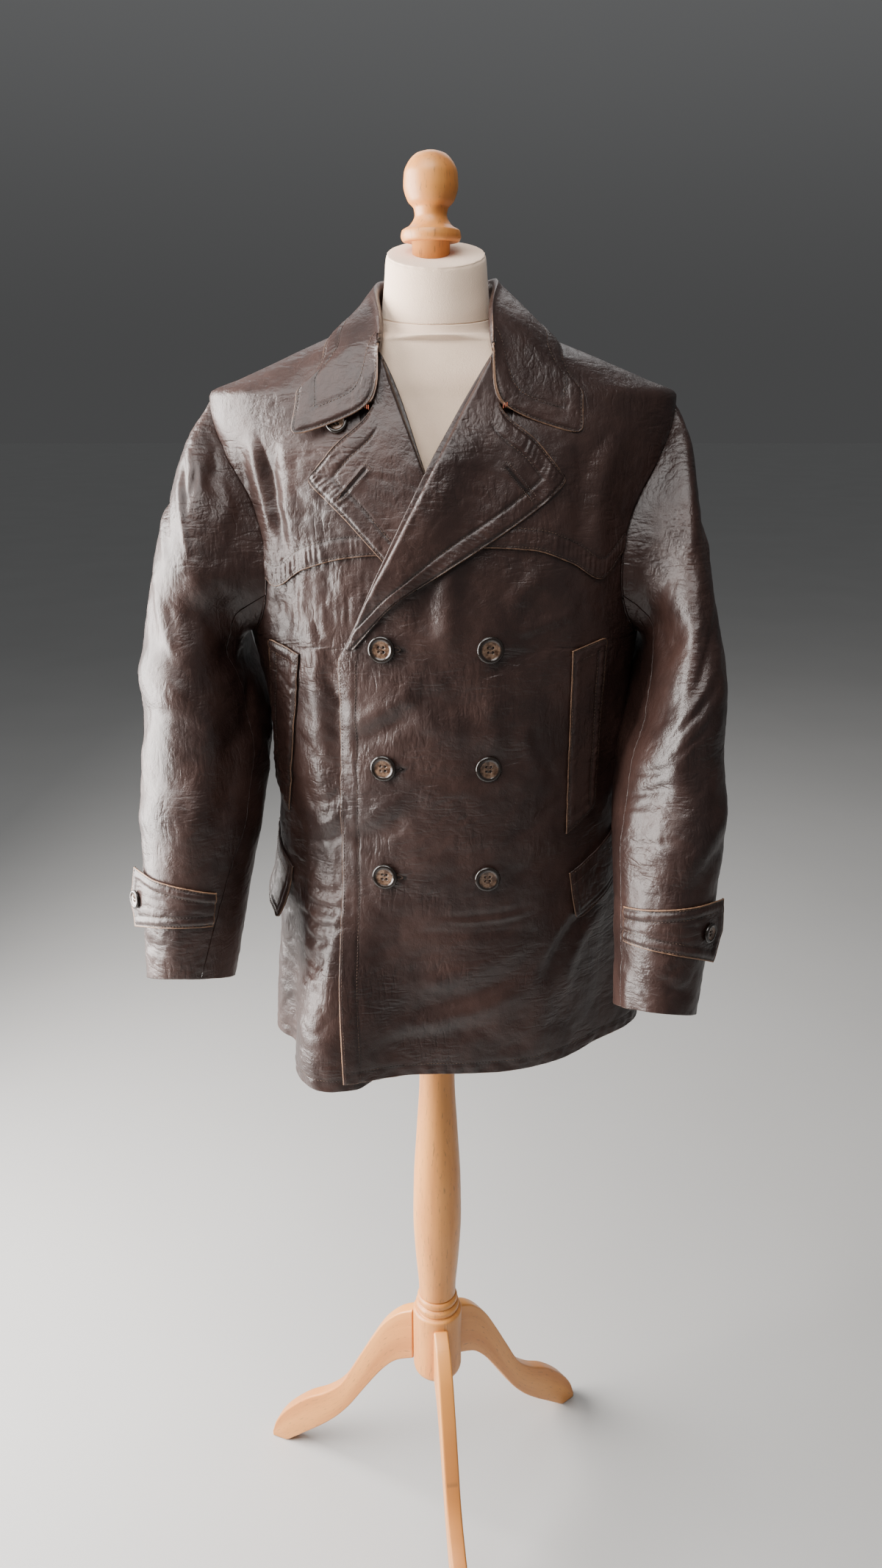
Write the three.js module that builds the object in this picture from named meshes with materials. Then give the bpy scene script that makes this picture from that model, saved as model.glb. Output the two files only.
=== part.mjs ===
// Worn double-breasted leather coat on a limbless dress form with a turned tripod stand.
// Millimetres, +Z up, +X to the viewer's right (the wearer's left), -Y towards the viewer.
import * as THREE from 'three';

// Frame: where the post axis stands, so that the origin is the middle of the footprint.
const AXIS_X = 18.8;
const AXIS_Y = 47;

// Cloth
const WALL = 2.2;
const SEAM = 0.3;
const LAY = 0.7;
const STEP = WALL + LAY;
const OVER_STEP = WALL + 1.3;

// Coat body, read up the height: half width, middle, front depth, back depth
const HEM_OVER = 815;
const HEM_UNDER = 802;
const HEM_BACK = 811;
const ARMPIT_Z = 1299;
const TIP_Z = 1541;
const BODY_Z = [780, 810, 950, 1100, 1230, 1300, 1400, 1480, 1541, 1555, 1570, 1584, 1594, 1602, 1610];
const BODY_W = [228, 226, 208, 200, 204, 214, 226, 235, 239, 207, 171, 137, 111, 88, 66];
const BODY_X = [28, 26, 21, 16, 12, 9, 7, 7, 7, 7, 6, 4, 2, 1, 0];
const BODY_F = [142, 140, 138, 136, 134, 132, 122, 104, 79, 75, 71, 67, 64, 61, 58];
const BODY_B = [130, 128, 124, 120, 122, 124, 122, 112, 93, 88, 84, 80, 76, 72, 66];

// Largest folds of the body: angle, spread, height, full below, gone above (degrees, mm)
const FOLDS = [
  [-38, 11, 54, 812, 1085],
  [-64, 7, -13, 812, 1050],
  [52, 16, -22, 815, 1080],
  [150, 12, 8, 815, 1040],
  [182, 13, -9, 815, 1060],
  [212, 12, 8, 815, 1040],
];
const SHOULDER_DENT = [52, 9, -7, 1365, 1525];

// Armhole scoop in front and behind
const SCOOP_FRONT = 40;
const SCOOP_BACK = 24;

// Front edges, roll lines and necklines: height and x
const OVER_Z = [780, 860, 960, 1080, 1285, 1300, 1577, 1602];
const OVER_X = [-89, -91, -96, -101, -100, -93, 52, 74];
const UNDER_Z = [780, 1240, 1300, 1464, 1577, 1602];
const UNDER_X = [82, 80, 57, -7, -51, -74];

// Grid rows of the panels between hem and neck
const ROWS = [
  855, 910, 965, 1020, 1080, 1140, 1200, 1255, 1299, 1307, 1322, 1345, 1380, 1414,
  1440, 1465, 1489, 1515, 1541, 1555, 1570, 1584, 1594, 1602,
];
const COLS_BACK = 18;
const COLS_OVER = 13;
const COLS_UNDER = 16;
// Share of the columns spent before an angle, so the hem fold stays round
const CROWD_OVER = [0.36, -4];
const CROWD_UNDER = [0.2, -64, 0.76, -16];

// Yokes: x and height of the lower edge, then height and x of the hidden inner edge
const YOKE_LEFT_EDGE = [[25, 45, 93, 133, 166, 189, 240], [1400, 1401, 1398, 1384, 1366, 1388, 1420]];
const YOKE_RIGHT_EDGE = [[36, 57, 87, 134, 165, 178, 240], [1391, 1393, 1390, 1376, 1357, 1366, 1400]];
const YOKE_INNER = [[1380, 1480, 1594], [30, 62, 92]];
const YOKE_ROWS = [1428, 1446, 1465, 1489, 1515, 1541, 1555, 1570, 1584, 1594];

// Lapels, as (x, z) outlines: roll, outer edge, top edge and foot
const LAPEL_LEFT = {
  roll: [[-92, 1301], [-18, 1443], [51.5, 1575]],
  outer: [[-82, 1300], [-42, 1345], [5, 1376], [45, 1401], [92, 1432], [119, 1454], [126, 1464]],
  top: [[51.5, 1575], [63, 1527], [98, 1497], [126, 1464]],
  foot: [[-92, 1301], [-82, 1300]],
};
const LAPEL_RIGHT = {
  roll: [[-2, 1451], [-28, 1514], [-50.5, 1575]],
  outer: [[-39, 1374], [-52, 1388], [-90, 1428], [-118, 1454], [-126, 1464]],
  top: [[-50.5, 1575], [-63, 1527], [-97, 1496], [-126, 1464]],
  foot: [[-2, 1451], [-20, 1411], [-39, 1374]],
};
const LAPEL_BULGE = 4;

// Collar, from the left front end round the back to the right front end
const COLLAR_CELLS = 24;
// Outer edge: share of the half length, angle, height and lift off the body
const EDGE_T = [0, 0.16, 0.28, 0.5, 0.75, 1];
const EDGE_LEFT = [
  [34.8, 34.6, 46, 90, 135, 180],
  [1502, 1542, 1573, 1594, 1588, 1580],
  [9.5, 8.8, 7.2, 6.2, 5, 5],
];
const EDGE_RIGHT = [
  [37.8, 36.4, 45, 90, 135, 180],
  [1499, 1542, 1573, 1600, 1590, 1580],
  [18, 11, 7.4, 6.2, 5, 5],
];
const NOTCH_X = 66;
const NOTCH_Z = 1530;

// Sleeves: stations from armhole to cuff with outer x, z, inner x, z, middle y and half depth
const SLEEVE_RIGHT = [
  [232, 1541, 207, 1299, 0, 80],
  [256, 1506, 212, 1288, -2, 88],
  [278, 1452, 212, 1268, -6, 90],
  [299, 1392, 204, 1240, -12, 89],
  [313, 1312, 198, 1205, -22, 86],
  [321, 1230, 196, 1160, -35, 82],
  [326, 1146, 199, 1105, -50, 77],
  [328, 1065, 208, 1043, -66, 70],
  [330, 985, 219, 976, -80, 62],
  [331, 911, 231, 911, -90, 55],
];
const SLEEVE_LEFT = [
  [246, 1541, 222, 1299, 0, 80],
  [262, 1506, 225, 1288, -6, 88],
  [272, 1452, 221, 1268, -20, 90],
  [282, 1392, 218, 1240, -44, 89],
  [294, 1312, 212, 1205, -68, 86],
  [303, 1230, 199, 1160, -92, 82],
  [305, 1146, 193, 1110, -115, 77],
  [299, 1070, 191, 1048, -138, 70],
  [288, 990, 190, 988, -160, 62],
  [277, 917, 190, 927, -180, 55],
];
// The cuffs hang with their front edge up
const CUFF_TILT = [[0, 5, 9], [0, 0.08, 0.46]];
const SLEEVE_STEPS = [0, 0.45, 1, 1.6, 2.2, 3, 3.7, 4.3, 4.9, 5.5, 6.1, 6.7, 7.4, 8.2, 9];
const SEAM_FRONT_RIGHT = [[0, 5, 7, 9], [128, 158, 138, 116]];
const SEAM_FRONT_LEFT = [[0, 5, 7, 9], [128, 158, 160, 158]];
const SEAM_BEHIND = [[0, 5, 9], [226, 230, 236]];
// Elbow and forearm folds: station, spread, height, angle, angular spread
const SLEEVE_FOLDS = [
  [4.6, 0.35, 4, 60, 70],
  [5.5, 0.4, -4, 70, 70],
  [6.3, 0.4, 4, 100, 70],
  [2.6, 0.5, -4, 80, 50],
];

// Cuff straps: station at the middle, its slant, half widths, start and end angle, and the shares
// of the length where the strap leaves the sleeve straight on and where its button sits
const STRAP_RIGHT = { mid: 7.72, slant: 0, half: [0.29, 0.45], from: 124, to: 4, bend: 0.68, button: 0.86 };
const STRAP_LEFT = { mid: 7.57, slant: 0.23, half: [0.3, 0.44], from: 152, to: 12, bend: 0.73, button: 0.77 };
const STRAP_POINT = 9;

// Pockets in (x, z) corners: front top, outer top, outer foot, front foot
const WELT_LEFT = [[137, 1296], [176, 1307], [172, 1119], [137, 1096]];
const WELT_RIGHT = [[-140, 1290], [-176, 1302], [-183, 1126], [-164, 1104]];
// Flaps: angle at the front and outer ends, height of the top edge at both, drop, stand-off
const FLAP_LEFT = { from: 38.5, to: 78, top: [1049, 1103], drop: 63, lift: 2.5 };
const FLAP_RIGHT = { from: -63, to: -94, top: [1036, 1072], drop: 66, lift: 20 };

// Buttons
const BUTTON_D = 28;
const BUTTON_H = 4.4;
const BUTTON_X = 54;
const BUTTON_ROWS = [1302, 1177, 1055];
const CUFF_BUTTON_D = 21;
const COLLAR_BUTTON = [-96, 1516];

// Dress form
const FORM_Z = [860, 950, 1100, 1230, 1300, 1420, 1480, 1520, 1541, 1555, 1566, 1602];
const FORM_IN = [40, 34, 46, 38, 33, 24, 17, 11, 7.5, 4.2, 3, 3];
const FORM_ROWS = [
  862, 868, 900, 955, 1030, 1100, 1170, 1235, 1300, 1360, 1420, 1480, 1515, 1541, 1555, 1570, 1584, 1594,
];
const FORM_COLS = 36;
const NECK_R = 56;
const NECK_SEAM_Z = 1617;
const NECK_SEAM_TILT = 10;
const CAP_R = 49;
const CAP_Z = 1676;
const CAP_TILT = 20;

// Stand, as (radius, height) profiles
const ROUND = 20;
const FINIAL_X = -5;
const FINIAL = [[19, 1686], [27, 1686], [30, 1691], [29, 1696], [21, 1701], [16, 1710], [17, 1716],
  [23, 1723], [27, 1736], [26.4, 1747], [22, 1757], [14, 1764.5], [6, 1767]];
const POST = [[20, 370.3], [24.5, 371], [25.5, 390], [30, 450], [32, 500], [31, 560], [26.5, 640],
  [22.5, 716], [22, 780], [22, 861.7]];
const HUB = [[22, 237], [29, 238.5], [32.5, 243], [33.5, 250], [33.5, 341], [31, 345], [28, 346.5],
  [29.7, 350.5], [29.7, 354], [27, 357.5], [25.6, 358.5], [27.5, 362], [27.5, 365], [25, 369], [20, 370]];
const LEG_WIDTH = 20;
const LEG_ANGLES = [-68.7, 51.6, 171.6];
const LEG_TOP = [[34, 332], [57, 318], [81, 290], [104, 247], [125, 204], [150, 155], [178, 125], [208, 103],
  [232, 80], [252, 56], [266, 32], [272, 12]];
const LEG_UNDER = [[34, 246], [60, 232], [80, 210], [99, 181], [118, 149], [140, 112], [164, 80], [190, 53],
  [214, 31], [236, 11], [250, 0], [272, 0]];

// Finishes
const LEATHER = { color: 0x2a1b14, roughness: 0.42, metalness: 0 };
const LEATHER_LIGHT = { color: 0x34231a, roughness: 0.45, metalness: 0 };
const JERSEY = { color: 0xd8cdb9, roughness: 0.95, metalness: 0 };
const WOOD = { color: 0xc99a63, roughness: 0.5, metalness: 0 };
const HORN = { color: 0x4a2c1c, roughness: 0.3, metalness: 0 };

// Everything is drawn about the post axis and placed in the frame as a whole
const group = new THREE.Group();
const figure = new THREE.Group();
figure.position.set(AXIS_X, AXIS_Y, 0);
group.add(figure);
const coat = new THREE.Group();
const form = new THREE.Group();
const stand = new THREE.Group();
figure.add(coat, form, stand);
const RAD = Math.PI / 180;
const clamp01 = (t) => Math.min(1, Math.max(0, t));
const smooth = (t) => {
  const k = clamp01(t);
  return k * k * (3 - 2 * k);
};
const vec = (x, y, z) => new THREE.Vector3(x, y, z);

// Monotone cubic through a table, so a size never overshoots its stations
function along(xs, ys, x) {
  const n = xs.length;
  if (x <= xs[0]) return ys[0];
  if (x >= xs[n - 1]) return ys[n - 1];
  let i = 0;
  while (x > xs[i + 1]) i += 1;
  const d = (k) => (ys[k + 1] - ys[k]) / (xs[k + 1] - xs[k]);
  const slope = (k) => {
    if (k === 0) return d(0);
    if (k === n - 1) return d(n - 2);
    const a = d(k - 1);
    const b = d(k);
    return a * b <= 0 ? 0 : (2 * a * b) / (a + b);
  };
  const h = xs[i + 1] - xs[i];
  const t = (x - xs[i]) / h;
  const m0 = slope(i) * h;
  const m1 = slope(i + 1) * h;
  const a = 2 * t ** 3 - 3 * t ** 2 + 1;
  const b = t ** 3 - 2 * t ** 2 + t;
  const c = -2 * t ** 3 + 3 * t ** 2;
  const e = t ** 3 - t ** 2;
  return a * ys[i] + b * m0 + c * ys[i + 1] + e * m1;
}

// Smooth curve through points of any size, t from 0 to 1
function through(points, t) {
  const n = points.length - 1;
  const s = clamp01(t) * n;
  const i = Math.min(n - 1, Math.floor(s));
  const f = s - i;
  const p = (k) => points[Math.min(n, Math.max(0, k))];
  return points[0].map((_, c) => {
    const a = p(i - 1)[c];
    const b = p(i)[c];
    const d = p(i + 1)[c];
    const e = p(i + 2)[c];
    const square = (2 * a - 5 * b + 4 * d - e) * f ** 2;
    const cube = (3 * b - a - 3 * d + e) * f ** 3;
    return 0.5 * (2 * b + (d - a) * f + square + cube);
  });
}

// Body of the coat
function foldHeight(phi, z) {
  let sum = 0;
  for (const [at, spread, height, low, high] of FOLDS) {
    let d = phi - at;
    d -= 360 * Math.round(d / 360);
    sum += height * Math.exp(-0.5 * (d / spread) ** 2) * (1 - smooth((z - low) / (high - low)));
  }
  const [at, spread, height, low, high] = SHOULDER_DENT;
  const mid = (low + high) / 2;
  const window = smooth(1 - Math.abs(z - mid) / (high - mid));
  sum += height * window * Math.exp(-0.5 * ((Math.abs(phi) - at) / spread) ** 2);
  return sum;
}

function bare(phi, z) {
  const s = Math.sin(phi * RAD);
  const c = Math.cos(phi * RAD);
  const depth = along(BODY_Z, c > 0 ? BODY_F : BODY_B, z);
  return vec(along(BODY_Z, BODY_X, z) + along(BODY_Z, BODY_W, z) * s, -depth * c, z);
}

function bareNormal(phi, z) {
  const across = bare(phi + 0.4, z).sub(bare(phi - 0.4, z));
  const up = bare(phi, z + 0.6).sub(bare(phi, z - 0.6));
  return across.cross(up).normalize();
}

function body(phi, z, out = 0, folds = true) {
  const lift = out + (folds ? foldHeight(phi, z) : 0);
  return bare(phi, z).addScaledVector(bareNormal(phi, z), lift);
}

function angleAt(x, z) {
  const s = (x - along(BODY_Z, BODY_X, z)) / along(BODY_Z, BODY_W, z);
  return Math.asin(Math.min(1, Math.max(-1, s))) / RAD;
}

// Normal of the folded body
function bodyNormal(phi, z) {
  const across = body(phi + 0.5, z).sub(body(phi - 0.5, z));
  const up = body(phi, z + 0.8).sub(body(phi, z - 0.8));
  return across.cross(up).normalize();
}

function cell(phi, z, out) {
  const n = bodyNormal(phi, z);
  return { p: body(phi, z).addScaledVector(n, out), n };
}

// Armhole: half angle left standing in front or behind at a height
function armAngle(z, scoop) {
  if (z <= ARMPIT_Z || z >= TIP_Z) return 90;
  const t = (z - ARMPIT_Z) / (TIP_Z - ARMPIT_Z);
  const depth = scoop * Math.sin(Math.PI * t ** 0.7) * (1 - t ** 4);
  const w = along(BODY_Z, BODY_W, z);
  return Math.asin((w - depth) / w) / RAD;
}

// The over front rides on the under front and on the lapel below its roll
function overOut(phi, z) {
  const x = bare(phi, z).x;
  const fromRoll = x - along(OVER_Z, OVER_X, z);
  const window = smooth((z - 1322) / 45) * (1 - smooth((z - 1476) / 40));
  const ride = 7.2 * window * (1 - smooth((fromRoll - 20) / 45));
  const hem = 3.2 * (1 - smooth((z - 830) / 180)) * (1 - smooth((phi + 25) / 30));
  return OVER_STEP * (1 - smooth((phi - 36) / 26)) + ride + hem;
}

// Closed wall on a grid of {p, n}: the grid is the face, the wall lies behind it
function wall(name, grid, finish) {
  const rows = grid.length;
  const cols = grid[0].length;
  const points = [];
  for (const row of grid) for (const g of row) points.push(g.p);
  for (const row of grid) for (const g of row) points.push(g.p.clone().addScaledVector(g.n, -WALL));
  const back = rows * cols;
  const at = (j, i) => j * cols + i;
  const index = [];
  const quad = (a, b, c, d) => {
    if (points[a].distanceToSquared(points[c]) <= points[b].distanceToSquared(points[d])) {
      index.push(a, b, c, a, c, d);
    } else {
      index.push(a, b, d, b, c, d);
    }
  };
  for (let j = 0; j < rows - 1; j += 1) {
    for (let i = 0; i < cols - 1; i += 1) {
      quad(at(j, i), at(j, i + 1), at(j + 1, i + 1), at(j + 1, i));
      quad(back + at(j, i), back + at(j + 1, i), back + at(j + 1, i + 1), back + at(j, i + 1));
    }
  }
  const rim = [];
  for (let i = 0; i < cols - 1; i += 1) rim.push([at(0, i), at(0, i + 1)]);
  for (let j = 0; j < rows - 1; j += 1) rim.push([at(j, cols - 1), at(j + 1, cols - 1)]);
  for (let i = cols - 1; i > 0; i -= 1) rim.push([at(rows - 1, i), at(rows - 1, i - 1)]);
  for (let j = rows - 1; j > 0; j -= 1) rim.push([at(j, 0), at(j - 1, 0)]);
  for (const [a, b] of rim) quad(b, a, back + a, back + b);
  add(coat, name, points, index, finish);
}

function add(parent, name, points, index, finish) {
  let volume = 0;
  for (let k = 0; k < index.length; k += 3) {
    const [a, b, c] = [points[index[k]], points[index[k + 1]], points[index[k + 2]]];
    volume += a.dot(b.clone().cross(c));
  }
  const faces = [];
  for (let k = 0; k < index.length; k += 3) {
    faces.push(index[k], index[k + (volume < 0 ? 2 : 1)], index[k + (volume < 0 ? 1 : 2)]);
  }
  const geometry = new THREE.BufferGeometry();
  const flat = points.flatMap((p) => [p.x, p.y, p.z]);
  geometry.setAttribute('position', new THREE.Float32BufferAttribute(flat, 3));
  geometry.setIndex(faces);
  geometry.computeVertexNormals();
  const mesh = new THREE.Mesh(geometry, new THREE.MeshStandardMaterial(finish));
  mesh.name = name;
  parent.add(mesh);
}

// Closed solid through rings of equal count
function loft(parent, name, rings, finish) {
  const n = rings[0].length;
  const points = rings.flat();
  const index = [];
  for (let j = 0; j < rings.length - 1; j += 1) {
    for (let i = 0; i < n; i += 1) {
      const k = (i + 1) % n;
      index.push(j * n + i, j * n + k, (j + 1) * n + k, j * n + i, (j + 1) * n + k, (j + 1) * n + i);
    }
  }
  const cap = (ring, start, flip) => {
    const middle = ring.reduce((s, p) => s.add(p), vec(0, 0, 0)).divideScalar(n);
    points.push(middle);
    const m = points.length - 1;
    for (let i = 0; i < n; i += 1) {
      const k = (i + 1) % n;
      if (flip) index.push(m, start + k, start + i);
      else index.push(m, start + i, start + k);
    }
  };
  cap(rings[0], 0, true);
  cap(rings[rings.length - 1], (rings.length - 1) * n, false);
  add(parent, name, points, index, finish);
}

function circle(radius, z, tilt = 0, middleY = 0) {
  return Array.from({ length: ROUND }, (_, i) => {
    const t = (i / ROUND) * 2 * Math.PI;
    const y = radius * Math.sin(t);
    return vec(radius * Math.cos(t), middleY + y * Math.cos(tilt * RAD), z + y * Math.sin(tilt * RAD));
  });
}

// Moves the end columns and rows of a grid in by half a seam
function ease(grid, sides, by = SEAM / 2) {
  const pull = (edge, next) => {
    const d = next.p.clone().sub(edge.p);
    edge.p.addScaledVector(d.normalize(), by);
  };
  const last = grid[0].length - 1;
  for (const row of grid) {
    if (sides.includes('start')) pull(row[0], row[1]);
    if (sides.includes('end')) pull(row[last], row[last - 1]);
  }
  if (sides.includes('top')) grid[grid.length - 1].forEach((g, i) => pull(g, grid[grid.length - 2][i]));
  if (sides.includes('foot')) grid[0].forEach((g, i) => pull(g, grid[1][i]));
  return grid;
}

// Normals of a free grid from its neighbours
function faced(points) {
  const rows = points.length;
  const cols = points[0].length;
  return points.map((row, j) => row.map((p, i) => {
    const across = row[Math.min(cols - 1, i + 1)].clone().sub(row[Math.max(0, i - 1)]);
    const up = points[Math.min(rows - 1, j + 1)][i].clone().sub(points[Math.max(0, j - 1)][i]);
    return { p: p.clone(), n: across.cross(up).normalize() };
  }));
}

// Body panels
function panel(name, hem, cols, range, out, crowd = []) {
  const grid = [hem, ...ROWS].map((z) => {
    const [from, to] = range(z);
    const low = 1 - smooth((z - 1080) / 120);
    const share = [0];
    const angle = [from];
    for (let k = 0; k < crowd.length; k += 2) {
      const even = from + (to - from) * crowd[k];
      share.push(crowd[k]);
      angle.push(even + (crowd[k + 1] - even) * low);
    }
    share.push(1);
    angle.push(to);
    return Array.from({ length: cols + 1 }, (_, i) => {
      const phi = along(share, angle, i / cols);
      return cell(phi, z, out(phi, z));
    });
  });
  wall(name, ease(grid, ['start', 'end']), LEATHER);
}

panel('back', HEM_BACK, COLS_BACK, (z) => {
  const a = armAngle(z, SCOOP_BACK);
  return [180 - a, 180 + a];
}, () => 0);
panel('front_over', HEM_OVER, COLS_OVER, (z) => {
  const edge = angleAt(along(OVER_Z, OVER_X, z), z);
  return [edge, armAngle(z, SCOOP_FRONT)];
}, overOut, CROWD_OVER);
panel('front_under', HEM_UNDER, COLS_UNDER, (z) => {
  const edge = angleAt(along(UNDER_Z, UNDER_X, z), z);
  return [-armAngle(z, SCOOP_FRONT), edge];
}, () => 0, CROWD_UNDER);

// Yokes lie on the fronts, from the stitched lower edge to the shoulder seam
function yoke(name, side, edge) {
  const cols = 9;
  const low = (x) => along(edge[0], edge[1], side * x);
  const lay = (phi, z) => (side > 0 ? overOut(phi, z) : 0) + STEP + 0.4;
  const span = (z) => {
    const outer = side * (armAngle(z, SCOOP_FRONT) - 0.5);
    return [angleAt(side * along(YOKE_INNER[0], YOKE_INNER[1], z), z), outer];
  };
  const grid = YOKE_ROWS.map((z) => {
    const [from, to] = span(z);
    return Array.from({ length: cols + 1 }, (_, i) => {
      const phi = from + ((to - from) * i) / cols;
      return cell(phi, z, lay(phi, z));
    });
  });
  const bottom = [0, 0.5].map((f) => Array.from({ length: cols + 1 }, (_, i) => {
    let z = 1385;
    let phi = 0;
    for (let k = 0; k < 6; k += 1) {
      const [from, to] = span(z);
      phi = from + ((to - from) * i) / cols;
      z = low(bare(phi, z).x);
    }
    const zz = z + (YOKE_ROWS[0] - z) * f;
    const [from, to] = span(zz);
    phi = from + ((to - from) * i) / cols;
    return cell(phi, zz, lay(phi, zz));
  }));
  wall(name, ease([...bottom, ...grid], ['end', 'top'], 0.6), LEATHER_LIGHT);
}
yoke('yoke_left', 1, YOKE_LEFT_EDGE);
yoke('yoke_right', -1, YOKE_RIGHT_EDGE);

// Lapels: a patch between four edges, laid on the front and raised along the roll
function patch(shape, u, v) {
  const r = through(shape.roll, u);
  const o = through(shape.outer, u);
  const f = through(shape.foot, v);
  const t = through(shape.top, v);
  const corner = (a, b) => a + (b - a) * v;
  return [0, 1].map((c) => {
    const sides = r[c] * (1 - v) + o[c] * v;
    const ends = f[c] * (1 - u) + t[c] * u;
    const low = corner(shape.foot[0][c], shape.foot[shape.foot.length - 1][c]);
    const high = corner(shape.top[0][c], shape.top[shape.top.length - 1][c]);
    return sides + ends - (low * (1 - u) + high * u);
  });
}

function lapelOut(side, phi, z, u, v) {
  const below = side > 0 ? overOut(phi, z) + STEP * smooth(u / 0.3) : STEP;
  return below + STEP + 0.5 + LAPEL_BULGE * (1 - v) ** 2 * smooth(u / (side > 0 ? 0.2 : 0.5));
}

function lapel(name, side, shape, rows, cols) {
  const grid = Array.from({ length: rows + 1 }, (_, j) => Array.from({ length: cols + 1 }, (_, i) => {
    const u = j / rows;
    const v = i / cols;
    const [x, z] = patch(shape, u, v);
    const phi = angleAt(x, z);
    return cell(phi, z, lapelOut(side, phi, z, u, v));
  }));
  wall(name, grid, LEATHER_LIGHT);
}
lapel('lapel_left', 1, LAPEL_LEFT, 14, 8);
lapel('lapel_right', -1, LAPEL_RIGHT, 10, 8);

// Collar: stand, roll and fall in one turned wall
function front(x, z, out) {
  const c = cell(angleAt(x, z), z, out);
  return [c.p.x, c.p.y, c.p.z];
}

function collarKeys(side, edge, drop) {
  const s = side;
  return {
    side,
    edge,
    base: [
      front(s * 54, 1579, 7), front(s * 71, 1594, 7.5), [s * 84, -4, 1607], [s * 57, 54, 1606], [0, 73, 1606],
    ],
    roll: [
      front(s * 53, 1582, 14), [s * 55, -47, 1630 - drop], [s * 61, 4, 1653 - drop / 2], [s * 49, 56, 1655],
      [0, 77, 1654],
    ],
  };
}

function edgeAt(keys, t) {
  const at = (k) => along(EDGE_T, keys.edge[k], t);
  return cell(keys.side * at(0), at(1), at(2)).p;
}

function collarSection(keys, t) {
  const [b, r] = ['base', 'roll'].map((k) => vec(...through(keys[k], t)));
  const e = edgeAt(keys, t);
  const notch = vec(...front(keys.side * NOTCH_X, NOTCH_Z, 12.5));
  const half = r.clone().lerp(e, 0.5).add(vec(0, 0, 2.5));
  const m = notch.lerp(half, smooth(t / 0.2));
  const height = Math.max(6, r.z - b.z);
  const dip = Math.min(11, 0.5 * height);
  const outward = vec(m.x - r.x, m.y - r.y, 0).normalize();
  const inner = r.clone().addScaledVector(outward, -2.5).add(vec(0, 0, -dip));
  const outer = r.clone().addScaledVector(outward, 0.62 * dip).add(vec(0, 0, -0.55 * dip));
  return [b, inner, r, outer, m, e].map((p) => [p.x, p.y, p.z]);
}

const COLLAR_V = [0, 0.1, 0.2, 0.3, 0.4, 0.5, 0.6, 0.7, 0.8, 0.9, 1];
const collarRight = collarKeys(-1, EDGE_RIGHT, 16);
const collarLeft = collarKeys(1, EDGE_LEFT, 2);
const collarGrid = Array.from({ length: COLLAR_CELLS + 1 }, (_, i) => {
  const u = i / COLLAR_CELLS;
  const keys = u <= 0.5 ? collarRight : collarLeft;
  const t = u <= 0.5 ? 2 * u : 2 - 2 * u;
  const section = collarSection(keys, t);
  return COLLAR_V.map((v) => vec(...through(section, v)));
});
wall('collar', faced(collarGrid), LEATHER_LIGHT);

// Sleeves
function armRing(side) {
  const levels = ROWS.filter((z) => z >= ARMPIT_Z && z <= TIP_Z);
  const middle = (ARMPIT_Z + TIP_Z) / 2;
  const half = (TIP_Z - ARMPIT_Z) / 2;
  const turn = (z) => Math.acos(Math.min(1, Math.max(-1, (z - middle) / half))) / RAD;
  const ring = [];
  for (const z of [...levels].reverse()) {
    const phi = side * armAngle(z, SCOOP_FRONT);
    ring.push({ psi: turn(z), p: cell(phi, z, side > 0 ? overOut(phi, z) : 0).p });
  }
  for (const z of levels.slice(1)) {
    const phi = 180 - side * armAngle(z, SCOOP_BACK);
    ring.push({ psi: 360 - turn(z), p: cell(phi, z, 0).p });
  }
  return ring;
}

function station(table, s) {
  return table[0].map((_, c) => along(table.map((_, k) => k), table.map((row) => row[c]), s));
}

function sleeveFold(s, psi) {
  let sum = 0;
  for (const [at, spread, height, angle, wide] of SLEEVE_FOLDS) {
    let d = psi - angle;
    d -= 360 * Math.round(d / 360);
    sum += height * Math.exp(-0.5 * ((s - at) / spread) ** 2) * Math.exp(-0.5 * (d / wide) ** 2);
  }
  return sum;
}

function oval(side, table, s, psi) {
  const [ox, oz, ix, iz, my, half] = station(table, s);
  const c = Math.cos(psi * RAD);
  const n = Math.sin(psi * RAD);
  const bulge = s > 0.01 ? sleeveFold(s, psi) : 0;
  const x = (ox + ix) / 2 + ((ox - ix) / 2 + bulge) * c;
  const tilt = along(CUFF_TILT[0], CUFF_TILT[1], s);
  const z = (oz + iz) / 2 + ((oz - iz) / 2) * c + tilt * half * n;
  return vec(side * x, my - (half + bulge) * n, z);
}

// Angle round the sleeve that a seam or column has drifted to at a station
function drift(psi0, s, seamFront) {
  const f0 = along(seamFront[0], seamFront[1], 0);
  const f1 = along(seamFront[0], seamFront[1], s);
  const b0 = along(SEAM_BEHIND[0], SEAM_BEHIND[1], 0);
  const b1 = along(SEAM_BEHIND[0], SEAM_BEHIND[1], s);
  if (psi0 <= f0) return (psi0 * f1) / f0;
  if (psi0 <= b0) return f1 + ((psi0 - f0) * (b1 - f1)) / (b0 - f0);
  return b1 + ((psi0 - b0) * (360 - b1)) / (360 - b0);
}

function sleevePoint(side, table, seamFront, start, s) {
  const psi = drift(start.psi, s, seamFront);
  const p = oval(side, table, s, psi);
  const keep = clamp01(1 - s / 2.2) ** 2;
  return p.addScaledVector(start.p.clone().sub(oval(side, table, 0, start.psi)), keep);
}

function startAt(ring, psi) {
  const turn = ((psi % 360) + 360) % 360;
  for (let i = 0; i < ring.length - 1; i += 1) {
    const a = ring[i];
    const b = ring[i + 1];
    if (turn >= a.psi && turn <= b.psi) {
      const f = (turn - a.psi) / Math.max(1e-6, b.psi - a.psi);
      return { psi: turn, p: a.p.clone().lerp(b.p, f) };
    }
  }
  return { psi: turn, p: ring[0].p.clone() };
}

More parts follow.
